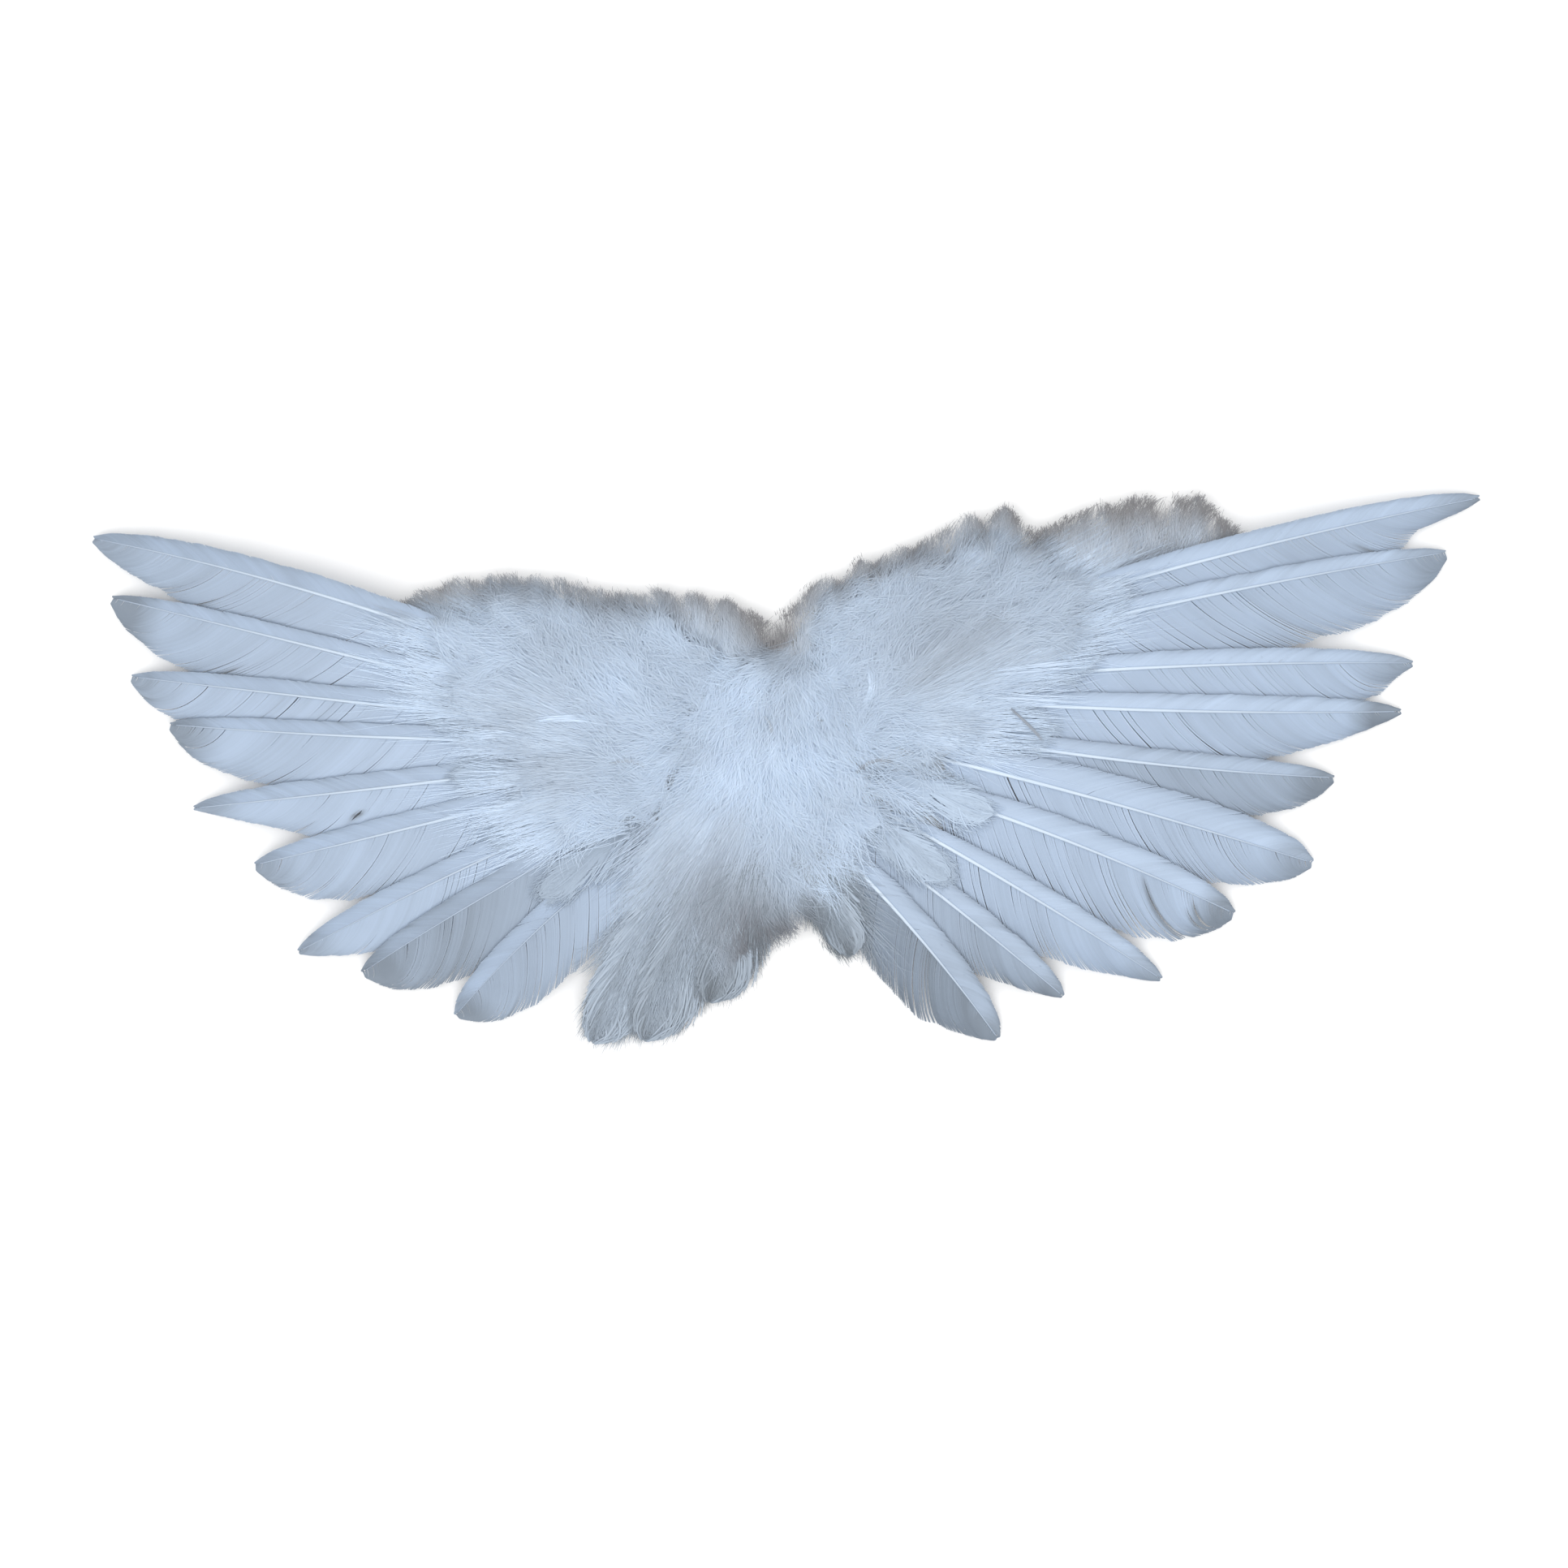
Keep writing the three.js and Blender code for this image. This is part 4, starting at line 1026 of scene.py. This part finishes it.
for node, mass in MASSES.items():
    rng = np.random.default_rng(mass["seed"])
    room = map_of([node])[1]
    places = scattered(rng, node, DOWN_APART, room)
    if node == "down_centre":
        bridges = np.array([at_pixel(*spot) for spot in BRIDGED])
        places = np.concatenate([places, hollows(rng), bridges])
    comb = np.exp(-((np.linalg.norm(places - at_pixel(*mass["combed"]), axis=1) / COMB_REACH) ** 2))
    combed = comb > COMBED_FROM
    away = places - np.where(combed[:, None], at_pixel(*mass["comb_source"]), at_pixel(*mass["source"]))
    flow = np.arctan2(away[:, 1], away[:, 0])
    turn = SWIRL_TURN * swirl(rng, places, DOWN_SWIRL) + rng.normal(0, SPRAY_TURN, len(places))
    headings = flow + np.where(combed, COMBED_LOOSE, 1.0) * turn
    long = rng.uniform(*COMBED_LENGTHS, len(places))
    lengths = np.where(combed, long, rng.uniform(*LOOSE_LENGTHS, len(places)))
    streaks = STREAK_TONE * slow_noise(rng, flow * STREAK_RADIUS, STREAK_GRAIN)
    tones = TONE_SWIRL_SIZE * swirl(rng, places, TONE_SWIRL) + np.where(combed, streaks, 0)
    out = np.stack([np.cos(headings), np.sin(headings)], axis=1)
    rows = np.column_stack([places - out * lengths[:, None] * SPRAY_BACK, headings, lengths, tones])
    parts = [core_part(node, DOWN_SINK)]
    rim = dict(margin=mass["margin"], ragged=DOWN_RAGGED, field=down_tone)
    for kind, shape in ((~combed, LOOSE_SHAPE), (combed, COMBED_SHAPE)):
        parts.append(spray(rng, rows[kind], DOWN_BARBS, drape, all_room, **shape, **rim))
    if "streamers" in mass:
        near_border = (room(*places.T) < STREAMER_BORDER) & (all_room(*places.T) > STREAMER_INSIDE)
        away = places - at_pixel(*mass["streamers"])
        starts = near_border & (np.linalg.norm(away, axis=1) > STREAMER_START)
        places, away = places[starts], away[starts]
        headings = np.arctan2(away[:, 1], away[:, 0]) + rng.normal(0, STREAMER_TURN, len(places))
        lengths = rng.uniform(*STREAMER_LENGTHS, len(places))
        rows = np.column_stack([places, headings, lengths, np.full(len(places), STREAMER_TONE)])
        parts.append(spray(rng, rows, STREAMER_BARBS, drape, all_room, **STREAMER_SPRAY))
    for spots, spread, tone in STRANDS.get(node, []):
        parts.append(strand(rng, [at_pixel(*spot) for spot in spots], spread, tone))
    fit_piece(node, parts, [down_finish])
